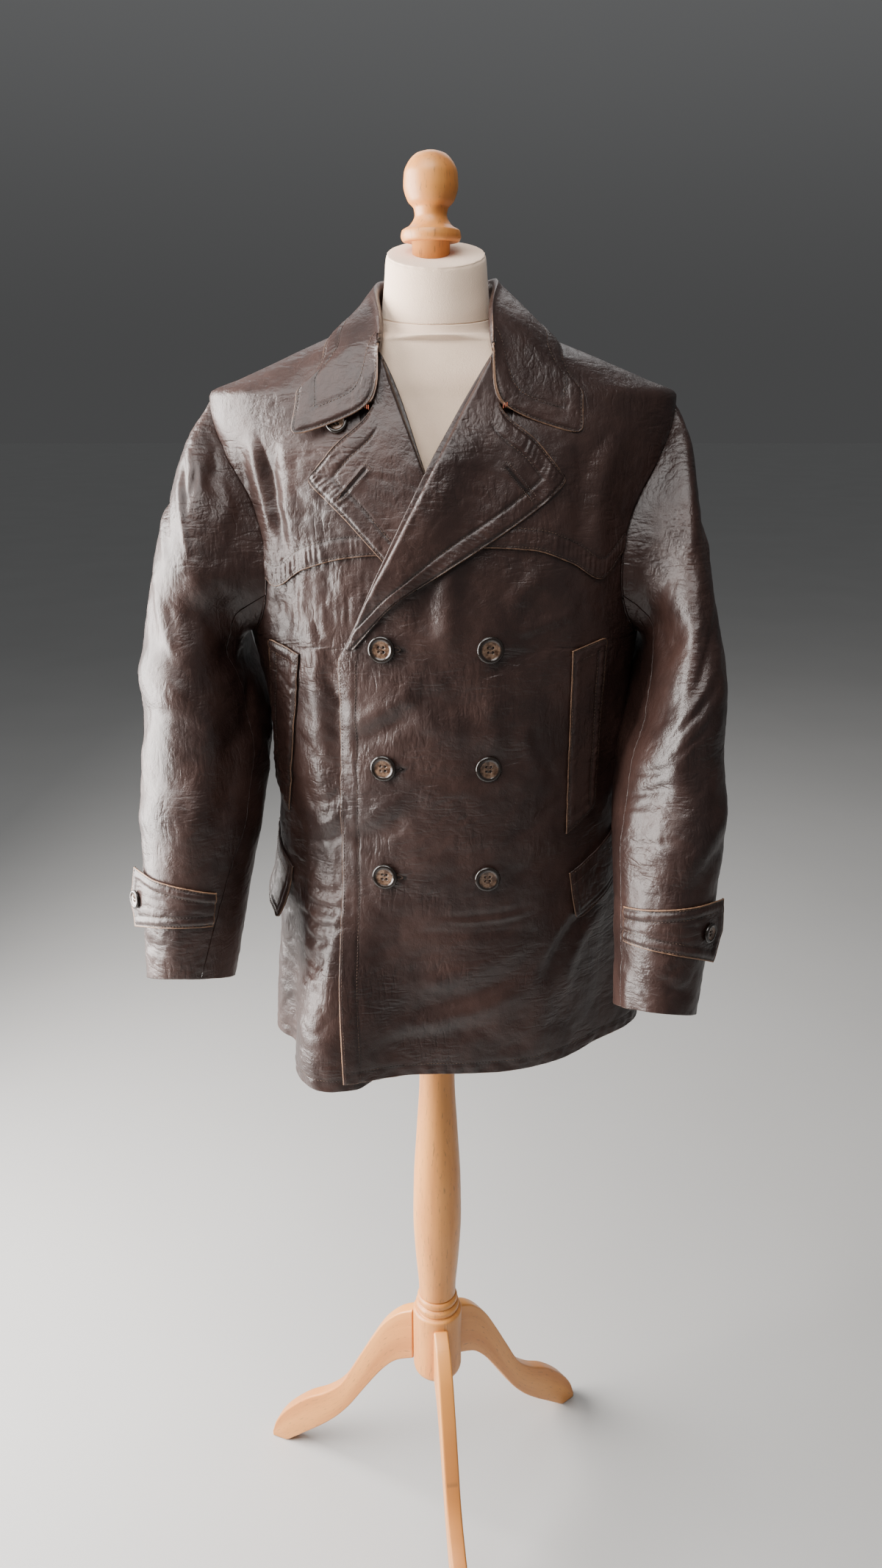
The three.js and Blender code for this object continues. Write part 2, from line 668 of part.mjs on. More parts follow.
function sleeve(word, side, table, seamFront) {
  const ring = armRing(side);
  const f0 = seamFront[1][0];
  const b0 = SEAM_BEHIND[1][0];
  const upper = [
    ...ring.filter((r) => r.psi > b0 + 3 && r.psi < 359.5).map((r) => r.psi - 360),
    ...ring.filter((r) => r.psi < f0 - 3).map((r) => r.psi),
  ];
  const under = ring.filter((r) => r.psi > f0 + 3 && r.psi < b0 - 3).map((r) => r.psi);
  const all = [b0 - 360, ...upper, f0, ...under];
  const starts = all.map((psi) => startAt(ring, psi));
  const points = SLEEVE_STEPS.map((st) => starts.map((q) => sleevePoint(side, table, seamFront, q, st)));
  const count = all.length;
  const whole = points.map((row, j) => row.map((p, i) => {
    const across = row[(i + 1) % count].clone().sub(row[(i + count - 1) % count]);
    const down = points[Math.min(points.length - 1, j + 1)][i].clone().sub(points[Math.max(0, j - 1)][i]);
    return { p, n: across.cross(down).multiplyScalar(side).normalize() };
  }));
  whole[0].forEach((g) => {
    g.p.x += side * 0.75;
  });
  const make = (name, first, last) => {
    const grid = whole.map((row) => {
      const cut = [];
      for (let i = first; i <= last; i += 1) {
        const g = row[i % count];
        cut.push({ p: g.p.clone(), n: g.n });
      }
      return cut;
    });
    wall(name, ease(grid, ['start', 'end'], 0.4), LEATHER);
  };
  make(`sleeve_${word}_upper`, 0, upper.length + 1);
  make(`sleeve_${word}_under`, upper.length + 1, count);
}
sleeve('right', -1, SLEEVE_RIGHT, SEAM_FRONT_RIGHT);
sleeve('left', 1, SLEEVE_LEFT, SEAM_FRONT_LEFT);

// Point and outward direction on a sleeve at a station and a drifted angle
function onSleeve(side, table, s, psi, out) {
  const at = (ss, pp) => oval(side, table, ss, pp);
  const across = at(s, psi + 1).sub(at(s, psi - 1));
  const down = at(s + 0.03, psi).sub(at(s - 0.03, psi));
  const n = across.cross(down).normalize();
  const st = station(table, s);
  const p = at(s, psi);
  if (n.dot(p.clone().sub(vec((side * (st[0] + st[2])) / 2, st[4], (st[1] + st[3]) / 2))) < 0) n.negate();
  return { p: p.addScaledVector(n, out), n };
}

function strapCell(side, table, strap, u, v) {
  const turn = strap.to - strap.from;
  const held = Math.min(u, strap.bend);
  const psi = strap.from + turn * held;
  const half = strap.half[0] + (strap.half[1] - strap.half[0]) * u;
  const s = strap.mid + strap.slant * u + (v - 0.5) * 2 * half;
  const place = onSleeve(side, table, s, psi, STEP + 0.5);
  const reach = oval(side, table, s, psi + 1).sub(oval(side, table, s, psi - 1));
  place.p.addScaledVector(reach, (turn / 2) * (u - held));
  return place;
}

function strap(word, side, table, shape) {
  const cols = 14;
  const rows = 4;
  const point = STRAP_POINT / Math.abs(shape.from - shape.to);
  const grid = Array.from({ length: rows + 1 }, (_, j) => Array.from({ length: cols + 1 }, (_, i) => {
    const v = j / rows;
    const u = (i / cols) * (1 - point * Math.abs(2 * v - 1));
    return strapCell(side, table, shape, u, v);
  }));
  wall(`cuff_strap_${word}`, grid, LEATHER_LIGHT);
  const seat = strapCell(side, table, shape, shape.button, 0.5);
  seat.p.addScaledVector(seat.n, 0.3);
  button(`cuff_button_${word}`, seat, CUFF_BUTTON_D, 3.6);
}

// Buttons
function button(name, seat, diameter, height) {
  const r = diameter / 2;
  const profile = [
    [0.72, 0.35], [0.94, 0.9], [1, 0.45 * height], [0.94, 0.86 * height], [0.8, height],
    [0.68, 0.72 * height],
  ];
  const n = seat.n.clone().normalize();
  const side = vec(0, 0, 1).cross(n).normalize();
  const up = n.clone().cross(side);
  const count = 12;
  const rings = profile.map(([k, h]) => Array.from({ length: count }, (_, i) => {
    const t = (i / count) * 2 * Math.PI;
    const p = seat.p.clone().addScaledVector(n, h);
    return p.addScaledVector(side, k * r * Math.cos(t)).addScaledVector(up, k * r * Math.sin(t));
  }));
  loft(coat, name, rings, HORN);
}
BUTTON_ROWS.forEach((z, row) => {
  for (const s of [-1, 1]) {
    const phi = angleAt(s * BUTTON_X, z);
    const lift = row === 2 && s < 0 ? 0.8 : 0;
    const seat = cell(phi, z, overOut(phi, z) + lift);
    button(`button_${s < 0 ? 'right' : 'left'}_${row + 1}`, seat, BUTTON_D, BUTTON_H);
  }
});
strap('right', -1, SLEEVE_RIGHT, STRAP_RIGHT);
strap('left', 1, SLEEVE_LEFT, STRAP_LEFT);
{
  const [x, z] = COLLAR_BUTTON;
  button('button_collar', cell(angleAt(x, z), z, STEP + 0.9), 22, 3.6);
}

// Pockets
function welt(name, side, corners) {
  const rows = 10;
  const cols = 3;
  const [a, b, c, d] = corners;
  const grid = Array.from({ length: rows + 1 }, (_, j) => Array.from({ length: cols + 1 }, (_, i) => {
    const v = j / rows;
    const u = i / cols;
    const at = (k) => (a[k] * (1 - u) + b[k] * u) * (1 - v) + (d[k] * (1 - u) + c[k] * u) * v;
    const phi = angleAt(at(0), at(1));
    return cell(phi, at(1), (side > 0 ? overOut(phi, at(1)) : 0) + STEP + 0.45);
  }));
  wall(name, grid, LEATHER_LIGHT);
}
welt('welt_left', 1, WELT_LEFT);
welt('welt_right', -1, WELT_RIGHT);

function flap(name, side, shape) {
  const rows = 5;
  const cols = 7;
  const grid = Array.from({ length: rows + 1 }, (_, j) => Array.from({ length: cols + 1 }, (_, i) => {
    const v = j / rows;
    const u = i / cols;
    const phi = shape.from + (shape.to - shape.from) * u + 2.5 * v * (1 - u) * side;
    const z = shape.top[0] + (shape.top[1] - shape.top[0]) * u - shape.drop * v;
    const out = (side > 0 ? overOut(phi, z) : 0) + STEP + shape.lift * v * v * (1 - 0.6 * u);
    return cell(phi, z, out);
  }));
  wall(name, grid, LEATHER_LIGHT);
}
flap('flap_left', 1, FLAP_LEFT);
flap('flap_right', -1, FLAP_RIGHT);

// Dress form: the smooth body drawn in, close under the coat along the shoulders
const formRings = FORM_ROWS.map((z) => {
  const base = z < 865 ? 6 : 0;
  return Array.from({ length: FORM_COLS }, (_, i) => {
    const phi = (i / FORM_COLS) * 360;
    const p = body(phi, z, -along(FORM_Z, FORM_IN, z) - base, false);
    return z < 870 ? p.setZ(z) : p;
  });
});
const neckRing = (radius, z, tilt) => Array.from({ length: FORM_COLS }, (_, i) => {
  const t = ((i / FORM_COLS) * 360 - 90) * RAD;
  const y = radius * Math.sin(t);
  return vec(radius * Math.cos(t), y, z + y * Math.tan(tilt * RAD));
});
formRings.push(neckRing(66, 1600.5, 2), neckRing(59, 1606, 6));
formRings.push(neckRing(NECK_R, NECK_SEAM_Z - SEAM, NECK_SEAM_TILT));
loft(form, 'dress_form', formRings, JERSEY);
loft(form, 'neck_cap', [
  circle(NECK_R - 0.8, NECK_SEAM_Z, NECK_SEAM_TILT),
  circle(NECK_R - 1.6, NECK_SEAM_Z + 12, NECK_SEAM_TILT + 2),
  circle(CAP_R + 1.6, CAP_Z - 8, CAP_TILT),
  circle(CAP_R, CAP_Z - 2, CAP_TILT),
  circle(CAP_R - 3.5, CAP_Z, CAP_TILT),
], JERSEY);

// Stand
const spigot = Array.from({ length: ROUND }, (_, i) => {
  const t = (i / ROUND) * 2 * Math.PI;
  const y = 19 * Math.sin(t);
  return vec(19 * Math.cos(t), y, CAP_Z + 0.4 + y * Math.tan(CAP_TILT * RAD));
});
const finial = [spigot, ...FINIAL.map(([r, z]) => circle(r, z))];
finial.forEach((ring) => ring.forEach((p) => {
  p.x += FINIAL_X;
}));
loft(form, 'finial', finial, WOOD);
loft(stand, 'post', POST.map(([r, z]) => circle(r, z)), WOOD);
loft(stand, 'hub', HUB.map(([r, z]) => circle(r, z)), WOOD);

LEG_ANGLES.forEach((angle, k) => {
  const out = vec(Math.sin(angle * RAD), Math.cos(angle * RAD), 0);
  const side = vec(out.y, -out.x, 0);
  const h = LEG_WIDTH / 2;
  const rings = LEG_TOP.map(([rt, zt], i) => {
    const [ru, zu] = LEG_UNDER[i];
    const at = (r, z, w) => out.clone().multiplyScalar(r).addScaledVector(side, w).add(vec(0, 0, z));
    const round = 3;
    const mid = (a, b, f) => a + (b - a) * f;
    const f = round / Math.hypot(rt - ru, zt - zu);
    return [
      at(ru, zu, -h), at(ru, zu, h), at(mid(rt, ru, f), mid(zt, zu, f), h),
      at(rt, zt, h - round), at(rt, zt, -h + round), at(mid(rt, ru, f), mid(zt, zu, f), -h),
    ];
  });
  loft(stand, `leg_${['left', 'right', 'front'][k]}`, rings, WOOD);
});

export default group;
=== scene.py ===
"""Worn double-breasted leather coat on a limbless dress form with a turned tripod stand.

Sizes are millimetres about the post axis, +Z up, -Y to the viewer, and become metres in the
shared frame when a mesh is made. Every cut piece of the coat is a grid of points worked out
from the same body as its solid, with creases, sewn edges and a wall behind it.
"""

from __future__ import annotations

import logging
import math
from dataclasses import dataclass, field
from enum import Enum
from typing import Callable, Sequence

import bpy
import numpy as np
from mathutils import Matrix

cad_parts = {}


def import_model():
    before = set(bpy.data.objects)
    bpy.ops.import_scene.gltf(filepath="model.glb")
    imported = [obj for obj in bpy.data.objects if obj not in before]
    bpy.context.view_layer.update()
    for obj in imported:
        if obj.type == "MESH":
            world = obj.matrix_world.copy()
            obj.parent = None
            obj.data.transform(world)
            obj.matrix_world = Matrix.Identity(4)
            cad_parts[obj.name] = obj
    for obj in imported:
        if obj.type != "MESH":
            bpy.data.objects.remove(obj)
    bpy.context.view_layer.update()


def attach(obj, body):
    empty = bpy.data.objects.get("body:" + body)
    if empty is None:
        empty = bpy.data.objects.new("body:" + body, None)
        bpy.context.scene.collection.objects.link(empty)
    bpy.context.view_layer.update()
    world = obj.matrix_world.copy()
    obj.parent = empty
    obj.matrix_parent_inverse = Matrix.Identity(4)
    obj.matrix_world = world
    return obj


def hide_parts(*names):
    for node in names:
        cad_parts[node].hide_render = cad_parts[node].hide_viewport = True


log = logging.getLogger("coat")
Array = np.ndarray
Pair = tuple[Array, Array]
Colour = tuple[float, ...]
Sizes = Sequence[float]
Table = Sequence[Sizes]
Node, Socket, NodeTree = bpy.types.Node, bpy.types.NodeSocket, bpy.types.NodeTree
Material, Object = bpy.types.Material, bpy.types.Object

MM = 0.001
AXIS = np.array([18.8, 47.0, 0.0])

# Thickness of the leather, gap below the neck block, and how far one layer lies above another
WALL = 2.2
SEAM = 0.3
STEP = WALL + 0.7
OVER_STEP = WALL + 1.3

# Round of a turned edge, grid lines close to it, and spread of the groove under a stitch row
TURNED_EDGE = 1.1
EDGE_LINES = (0.0, 0.3, 0.8, 1.6)
GROOVE = 1.1


# Numbers and curves


def clamp01(t: Array | float) -> Array:
    """Values cut to the range 0 to 1."""
    return np.clip(t, 0.0, 1.0)


def smooth(t: Array | float) -> Array:
    """Smooth step from 0 to 1."""
    k = clamp01(t)
    return k * k * (3 - 2 * k)


def bell(t: Array | float) -> Array:
    """Bell curve of height 1 and unit spread."""
    return np.exp(-0.5 * np.square(t))


def unit(v: Array) -> Array:
    """Vectors scaled to length 1."""
    return v / np.maximum(np.linalg.norm(v, axis=-1, keepdims=True), 1e-9)


def wrap(angle: Array) -> Array:
    """Angles brought to between -180 and 180."""
    return angle - 360 * np.round(angle / 360)


def full_turn(count: int) -> Array:
    """Even angles once round, in radians."""
    return np.linspace(0, 2 * np.pi, count + 1)[:-1]


def lengths(path: Array) -> Array:
    """Length along a path up to each of its points."""
    return np.concatenate([[0], np.cumsum(np.linalg.norm(np.diff(path, axis=0), axis=1))])


def read_points(at: Array, places: Array, table: Array) -> Array:
    """Points read between the rows of a table that lie at rising places."""
    return np.stack([np.interp(at, places, table[:, k]) for k in range(3)], axis=-1)


def grid_normals(points: Array) -> Array:
    """Normals of a grid of points, towards the side that its rows and columns set."""
    return unit(np.cross(np.gradient(points, axis=1), np.gradient(points, axis=0)))


def surface_normal(
    shape: Callable[[Array, Array], Array], a: Array, b: Array, da: float, db: float
) -> Array:
    """Normals of a shape of two parameters: across small steps in the first and the second."""
    first = shape(a + da, b) - shape(a - da, b)
    second = shape(a, b + db) - shape(a, b - db)
    return unit(np.cross(first, second))


def along(xs: Sizes, ys: Sizes | Array, x: Array | float) -> Array:
    """Monotone cubic through a table, so a size never overshoots its stations.

    Args:
        xs: Places of the stations, rising.
        ys: Sizes at the stations along the first axis; later axes are carried.
        x: Places to read.

    Returns:
        Sizes at x, held at the end values outside the table.
    """
    xs, ys = np.asarray(xs, float), np.asarray(ys, float)
    carried = (1,) * (ys.ndim - 1)
    x = np.clip(np.asarray(x, float), xs[0], xs[-1])
    d = np.diff(ys, axis=0) / np.diff(xs).reshape(-1, *carried)
    both = d[:-1] * d[1:]
    inner = np.where(both > 0, 2 * both / np.where(both > 0, d[:-1] + d[1:], 1), 0)
    slope = np.concatenate([d[:1], inner, d[-1:]])
    i = np.clip(np.searchsorted(xs, x, side="right") - 1, 0, len(xs) - 2)
    h = (xs[i + 1] - xs[i]).reshape(x.shape + carried)
    t = (x - xs[i]).reshape(x.shape + carried) / h
    rise = (2 * t**3 - 3 * t**2 + 1) * ys[i] + (-2 * t**3 + 3 * t**2) * ys[i + 1]
    bend = (t**3 - 2 * t**2 + t) * slope[i] + (t**3 - t**2) * slope[i + 1]
    return rise + bend * h


def catmull(four: Sequence[Array], f: Array) -> Array:
    """Catmull-Rom curve between the middle two of four points."""
    a, b, c, d = four
    square = (2 * a - 5 * b + 4 * c - d) * f**2
    cube = (3 * b - a - 3 * c + d) * f**3
    return 0.5 * (2 * b + (c - a) * f + square + cube)


def through(points: Table | Array, t: Array | float) -> Array:
    """Catmull-Rom curve through points.

    Args:
        points: Points of the curve along the first axis; later axes are carried.
        t: Places from 0 to 1.

    Returns:
        Points at t, with t's shape in front of the points' own.
    """
    points = np.asarray(points, float)
    last = len(points) - 1
    s = clamp01(np.asarray(t, float)) * last
    i = np.minimum(last - 1, np.floor(s).astype(int))
    f = (s - i).reshape(s.shape + (1,) * (points.ndim - 1))
    return catmull([points[np.clip(i + k, 0, last)] for k in (-1, 0, 1, 2)], f)


def lines(length: float, step: float) -> Array:
    """Places of grid lines across a piece, close together by its turned edges.

    Args:
        length: Size of the piece in that direction.
        step: Distance between lines.

    Returns:
        Shares of the length, an odd number of them.
    """
    inner = max(3, int(round((length - 2 * EDGE_LINES[-1]) / step)))
    inner += inner % 2
    middle = np.linspace(EDGE_LINES[-1], length - EDGE_LINES[-1], inner + 1)
    edge = np.array(EDGE_LINES[:-1])
    return np.concatenate([edge, middle, length - edge[::-1]]) / length


class Noise:
    """Gradient noise in space, worked out for whole arrays from a seeded lattice."""

    def __init__(self, seed: int) -> None:
        """Keeps the seed that sets the lattice."""
        self.seed = seed

    def lattice(self, cell: Array) -> Array:
        """Pseudo-random gradient at whole-number lattice places."""
        k = cell.astype(np.int64)
        h = k[..., 0] * 73856093 ^ k[..., 1] * 19349663 ^ k[..., 2] * 83492791
        h = (h ^ self.seed * 2654435761) & 0xFFFFFFFF
        h = ((h ^ (h >> 15)) * 2246822519) & 0xFFFFFFFF
        h = ((h ^ (h >> 13)) * 3266489917) & 0xFFFFFFFF
        parts = [(h >> shift & 1023) / 511.5 - 1 for shift in (0, 10, 20)]
        return np.stack(parts, axis=-1)

    def __call__(self, places: Array, size: float | Sizes) -> Array:
        """Noise from about -1 to 1.

        Args:
            places: Points in space.
            size: Size of one lattice cell, one number or one for each axis.

        Returns:
            One value for each point.
        """
        p = places / np.asarray(size, float)
        base = np.floor(p)
        f = p - base
        w = f**3 * (f * (f * 6 - 15) + 10)
        total = np.zeros(p.shape[:-1])
        for corner in np.ndindex(2, 2, 2):
            c = np.array(corner)
            weight = np.prod(np.where(c == 1, w, 1 - w), axis=-1)
            total += weight * np.sum(self.lattice(base + c) * (f - c), axis=-1)
        return total * 1.2


SOFT = Noise(3)
SHARP = Noise(11)
FINE = Noise(29)


def crumple(places: Array) -> Array:
    """Height of the small crumples of worn leather: soft swells cut by fine crease lines."""
    warp = places + 7 * np.stack([SOFT(places + k, 26.0) for k in (0, 91, 47)], axis=-1)
    swell = 0.75 * SOFT(places, 42.0) + 0.4 * SOFT(places + 57, 19.0)
    creased = (1 - np.abs(SHARP(warp, (46, 46, 34)))) ** 5
    middle = (1 - np.abs(SOFT(warp + 131, (23, 23, 19)))) ** 6
    fine = (1 - np.abs(FINE(warp, (13, 13, 11)))) ** 5
    return swell - 0.45 * creased - 0.3 * middle - 0.2 * fine + 0.12 * FINE(places, 8.0)


@dataclass(frozen=True)
class Crease:
    """One crease: a soft trough, or a ridge where its height is above zero."""

    start: tuple[float, float]
    end: tuple[float, float]
    width: float
    height: float
    bow: float = 0.0

    def relief(self, a: Array, b: Array) -> Array:
        """Bell across the crease's bowed line, fading out at both ends.

        Args:
            a: First chart coordinate.
            b: Second chart coordinate.

        Returns:
            Height of the crease at each place.
        """
        dx, dy = self.end[0] - self.start[0], self.end[1] - self.start[1]
        length = math.hypot(dx, dy)
        x, y = a - self.start[0], b - self.start[1]
        t = (x * dx + y * dy) / length**2
        off = (x * dy - y * dx) / length - 4 * self.bow * t * (1 - t)
        fade = smooth((t + 0.2) / 0.45) * smooth((1.2 - t) / 0.45)
        return self.height * bell(off / self.width) * fade


def total_relief(creases: Sequence[Crease], a: Array, b: Array) -> Array:
    """Sum of a set of creases over a chart."""
    height = np.zeros(np.broadcast(a, b).shape)
    for crease in creases:
        height += crease.relief(a, b)
    return height


def creases(*rows: Sizes) -> tuple[Crease, ...]:
    """Creases from rows of start, end, width, height and, where it isn't zero, bow."""
    return tuple(Crease((a, b), (c, d), *rest) for a, b, c, d, *rest in rows)


# Creases of the fronts, with start and end as places (x, z)
FRONT_CREASES = creases(
    (18, 1392, 12, 1304, 9, 3.2, 5), (-8, 1372, -4, 1318, 10, -2.2, 3),
    (72, 1346, 104, 1376, 8, 2.2), (84, 1310, 136, 1326, 4, -1.6, 2),
    (80, 1318, 138, 1335, 5, 1.3, 2), (66, 1292, 128, 1309, 4, -1.6, 2),
    (46, 1276, 80, 1288, 3.5, -1.2), (100, 1216, 126, 1158, 5, -1.5, 6),
    (92, 1220, 116, 1166, 6, 1.4, 6), (-82, 1202, -22, 1242, 8, -2.6, 3),
    (-84, 1222, -18, 1264, 9, 2.2, 3), (-88, 1092, -30, 1128, 9, -2.0, 4),
    (-86, 1110, -34, 1146, 9, 1.8, 4), (-30, 1262, 40, 1246, 8, -1.4, 5),
    (-24, 1236, 60, 1214, 9, 1.4, 6), (30, 1168, 96, 1196, 8, -1.4),
    (-36, 1166, 24, 1148, 9, 1.4, 5), (58, 1252, 62, 1196, 8, 1.6, 4),
    (4, 1010, 90, 1016, 3.5, -1.5, 3), (12, 1001, 98, 1004, 3, -1.4, 3),
    (-4, 992, 84, 993, 3.5, -1.2, 2), (8, 1006, 92, 1010, 3, 1.1, 3),
    (-30, 896, 100, 944, 9, -2.0, 4), (-34, 876, 108, 918, 10, 2.2, 4),
    (-20, 926, 92, 968, 8, 1.6, 3), (-60, 858, 60, 880, 9, -1.8, 4),
    (166, 998, 120, 914, 7, -2.4, 6), (150, 1000, 106, 920, 7, 2.0, 6),
    (182, 986, 142, 890, 7, 2.0, 6), (128, 930, 116, 830, 10, 2.6, 4),
    (76, 1052, 130, 1078, 6, -1.4), (84, 1104, 136, 1140, 6, -1.3, 3),
    (-124, 1336, -119, 1092, 13, 4.0, 3), (-104, 1290, -98, 1150, 8, -2.6, 3),
    (-115, 1278, -97, 1236, 4, -1.8, 2), (-132, 1350, -112, 1296, 4, -1.6, 2),
    (-140, 1374, -128, 1318, 5, 1.4), (-130, 1182, -98, 1168, 3, -1.6, 2),
    (-134, 1124, -100, 1142, 4, -1.8, 2), (-130, 1100, -102, 1118, 4, 1.6, 2),
    (-140, 1078, -100, 1096, 4, -1.4, 3), (-138, 1024, -101, 1030, 2.8, -1.5, 2),
    (-140, 1014, -102, 1019, 2.6, 1.3, 2), (-139, 1005, -101, 1009, 2.8, -1.6, 2),
    (-136, 995, -104, 997, 2.6, 1.2, 2), (-134, 985, -102, 986, 2.8, -1.4, 2),
    (-142, 968, -108, 974, 3, -1.4, 3), (-150, 955, -112, 960, 3, 1.3, 3),
    (-148, 942, -114, 946, 3, -1.3, 3), (-150, 926, -120, 934, 3.4, -1.3, 3),
    (-148, 910, -122, 918, 3.4, 1.2, 3), (-100, 1010, -104, 900, 6, 2.0, 3),
    (-166, 1350, -150, 1312, 5, -1.4), (-196, 1240, -176, 1090, 8, -1.8, 4),
    (190, 1250, 184, 1120, 9, -1.8, 4), (196, 1080, 188, 880, 10, 2.0, 4),
    (-186, 1060, -196, 870, 9, 2.2, 4), (-182, 1506, -166, 1410, 6, 3.8, 5),
    (-168, 1512, -154, 1400, 5, -3.2, 4), (-150, 1500, -143, 1404, 6, 2.2, 3),
    (-197, 1480, -180, 1390, 5, -2.6, 5), (176, 1500, 160, 1400, 9, 2.6, 6),
    (150, 1518, 146, 1402, 9, -2.6, 4), (112, 1484, 104, 1430, 4, 1.0),
)

# Creases of the back, as places (x, z)
BACK_CREASES = creases(
    (-150, 1392, -40, 1330, 12, -3.2, 8), (164, 1392, 52, 1326, 12, -3.2, -8),
    (-162, 1350, -60, 1288, 11, 3.0, 8), (176, 1350, 74, 1284, 11, 3.0, -8),
    (-120, 1286, 90, 1280, 10, -2.2, 6), (-90, 1228, 120, 1236, 9, 2.2, -5),
    (-140, 1182, 60, 1168, 9, -2.6, 6), (-60, 1142, 150, 1150, 9, 2.4, -6),
    (-120, 1106, 30, 1112, 7, -2.0, 4), (-150, 1470, -130, 1390, 9, 2.4, 5),
    (160, 1470, 142, 1390, 9, 2.4, -5), (-40, 1500, -30, 1410, 11, -2.0, 4),
    (52, 1500, 44, 1410, 11, -2.0, -4), (-84, 1080, -100, 850, 12, 3.0, 6),
    (110, 1080, 128, 850, 12, 3.0, -6), (20, 1060, 16, 840, 12, -3.0, 4),
    (-170, 1040, -186, 860, 10, -2.6, 5), (196, 1040, 210, 860, 10, -2.6, -5),
    (-60, 990, 70, 1000, 6, -1.6, 4), (-130, 940, -20, 952, 6, -1.5, 4),
)

# Creases of the sleeves, as places (round in mm from the outer line to the front, down in mm)
SLEEVE_RIGHT_CREASES = creases(
    (168, 40, 74, 236, 10, -6.5, 8), (140, 44, 52, 214, 10, 4.0, 8),
    (166, 130, 92, 300, 9, -5.0, 6), (150, 190, 66, 330, 10, 3.6, 6),
    (186, 200, 128, 352, 8, -3.6, 5), (30, 90, 72, 104, 6, -2.6, 3),
    (38, 112, 84, 128, 7, 2.2, 3), (64, 60, 66, 92, 4, -2.2, 2),
    (94, 20, 104, 58, 6, 2.6, 3), (70, 14, 78, 50, 6, -2.2, 3),
    (-14, 152, 46, 168, 6, -3.2, 4), (-12, 176, 60, 190, 8, 2.6, 4),
    (10, 226, 52, 280, 7, -2.6, 5), (30, 216, 76, 276, 8, 2.0, 5),
    (14, 300, 84, 268, 8, -2.4, 5), (6, 336, 96, 296, 9, 2.6, 5),
    (16, 368, 100, 330, 8, -2.6, 6), (8, 404, 98, 366, 9, 2.4, 5),
    (24, 436, 96, 404, 7, -2.2, 5), (10, 470, 90, 436, 9, 2.0, 4),
    (110, 280, 104, 470, 10, 3.4, 6), (136, 300, 128, 470, 10, -3.2, 6),
    (40, 588, 90, 596, 5, -1.6, 3), (-40, 220, -30, 330, 11, -2.6, 5),
    (-60, 330, -20, 352, 8, 2.6, 4), (-70, 372, -16, 384, 8, -2.8, 4),
    (-66, 410, -20, 420, 8, 2.2, 4), (-110, 240, -90, 360, 10, 2.4, 5),
    (200, 310, 236, 360, 8, -2.2, 4), (196, 350, 240, 396, 8, 2.0, 4),
)
SLEEVE_LEFT_CREASES = creases(
    (158, 60, 112, 210, 10, -4.6, 8), (136, 50, 92, 190, 10, 2.8, 8),
    (20, 250, 84, 276, 6, -1.8, 4), (30, 284, 98, 300, 6, 1.5, 4),
    (62, 306, 118, 316, 4, -1.4, 3), (56, 334, 110, 340, 4, -1.2, 3),
    (-6, 168, 34, 182, 6, -2.6, 3), (-8, 196, 30, 206, 7, 2.0, 3),
    (74, 240, 80, 380, 10, -1.3, 5), (96, 250, 102, 390, 9, 1.2, 5),
    (48, 250, 50, 370, 10, 1.2, 4), (150, 300, 152, 520, 9, 1.6, 4),
    (128, 330, 126, 500, 10, -1.2, 4), (112, 352, 162, 344, 4, -2.0, 3),
    (108, 376, 160, 374, 4, -1.8, 3), (116, 400, 164, 404, 4, 1.6, 3),
    (104, 436, 158, 442, 4, -1.6, 3), (26, 420, 84, 470, 9, 2.0, 5),
    (16, 452, 76, 500, 9, -2.2, 5), (110, 592, 52, 606, 5, -2.0, 4),
    (150, 590, 146, 640, 6, 2.2, 3), (-44, 230, -30, 330, 11, -2.6, 5),
    (-62, 330, -20, 352, 8, 2.6, 4), (-70, 376, -16, 386, 8, -2.8, 4),
    (-110, 250, -92, 370, 10, 2.4, 5), (206, 320, 240, 366, 8, -2.2, 4),
)


# The body of the coat


class Side(Enum):
    """Wearer's sides, with the sign of X they lie on."""

    RIGHT = -1
    LEFT = 1

    @property
    def word(self) -> str:
        """The side's word in a node's name."""
        return self.name.lower()

    @property
    def front(self) -> str:
        """The front panel on this side."""
        return "coat_front_over" if self is Side.LEFT else "coat_front_under"


class Edge(Enum):
    """The four edges of a grid of cloth."""

    START = "start"
    END = "end"
    FOOT = "foot"
    TOP = "top"


@dataclass(frozen=True)
class Patch:
    """A patch of fine relief on the front: its middle and spread, its height and lattice."""

    x: float
    x_spread: float
    z: float
    z_spread: float
    height: float
    shift: float
    cell: tuple[float, float, float]

    def relief(self, points: Array) -> Array:
        """Height of the patch at points of the body."""
        window = bell((points[..., 0] - self.x) / self.x_spread)
        window = window * bell((points[..., 2] - self.z) / self.z_spread)
        return self.height * window * FINE(points + self.shift, self.cell)


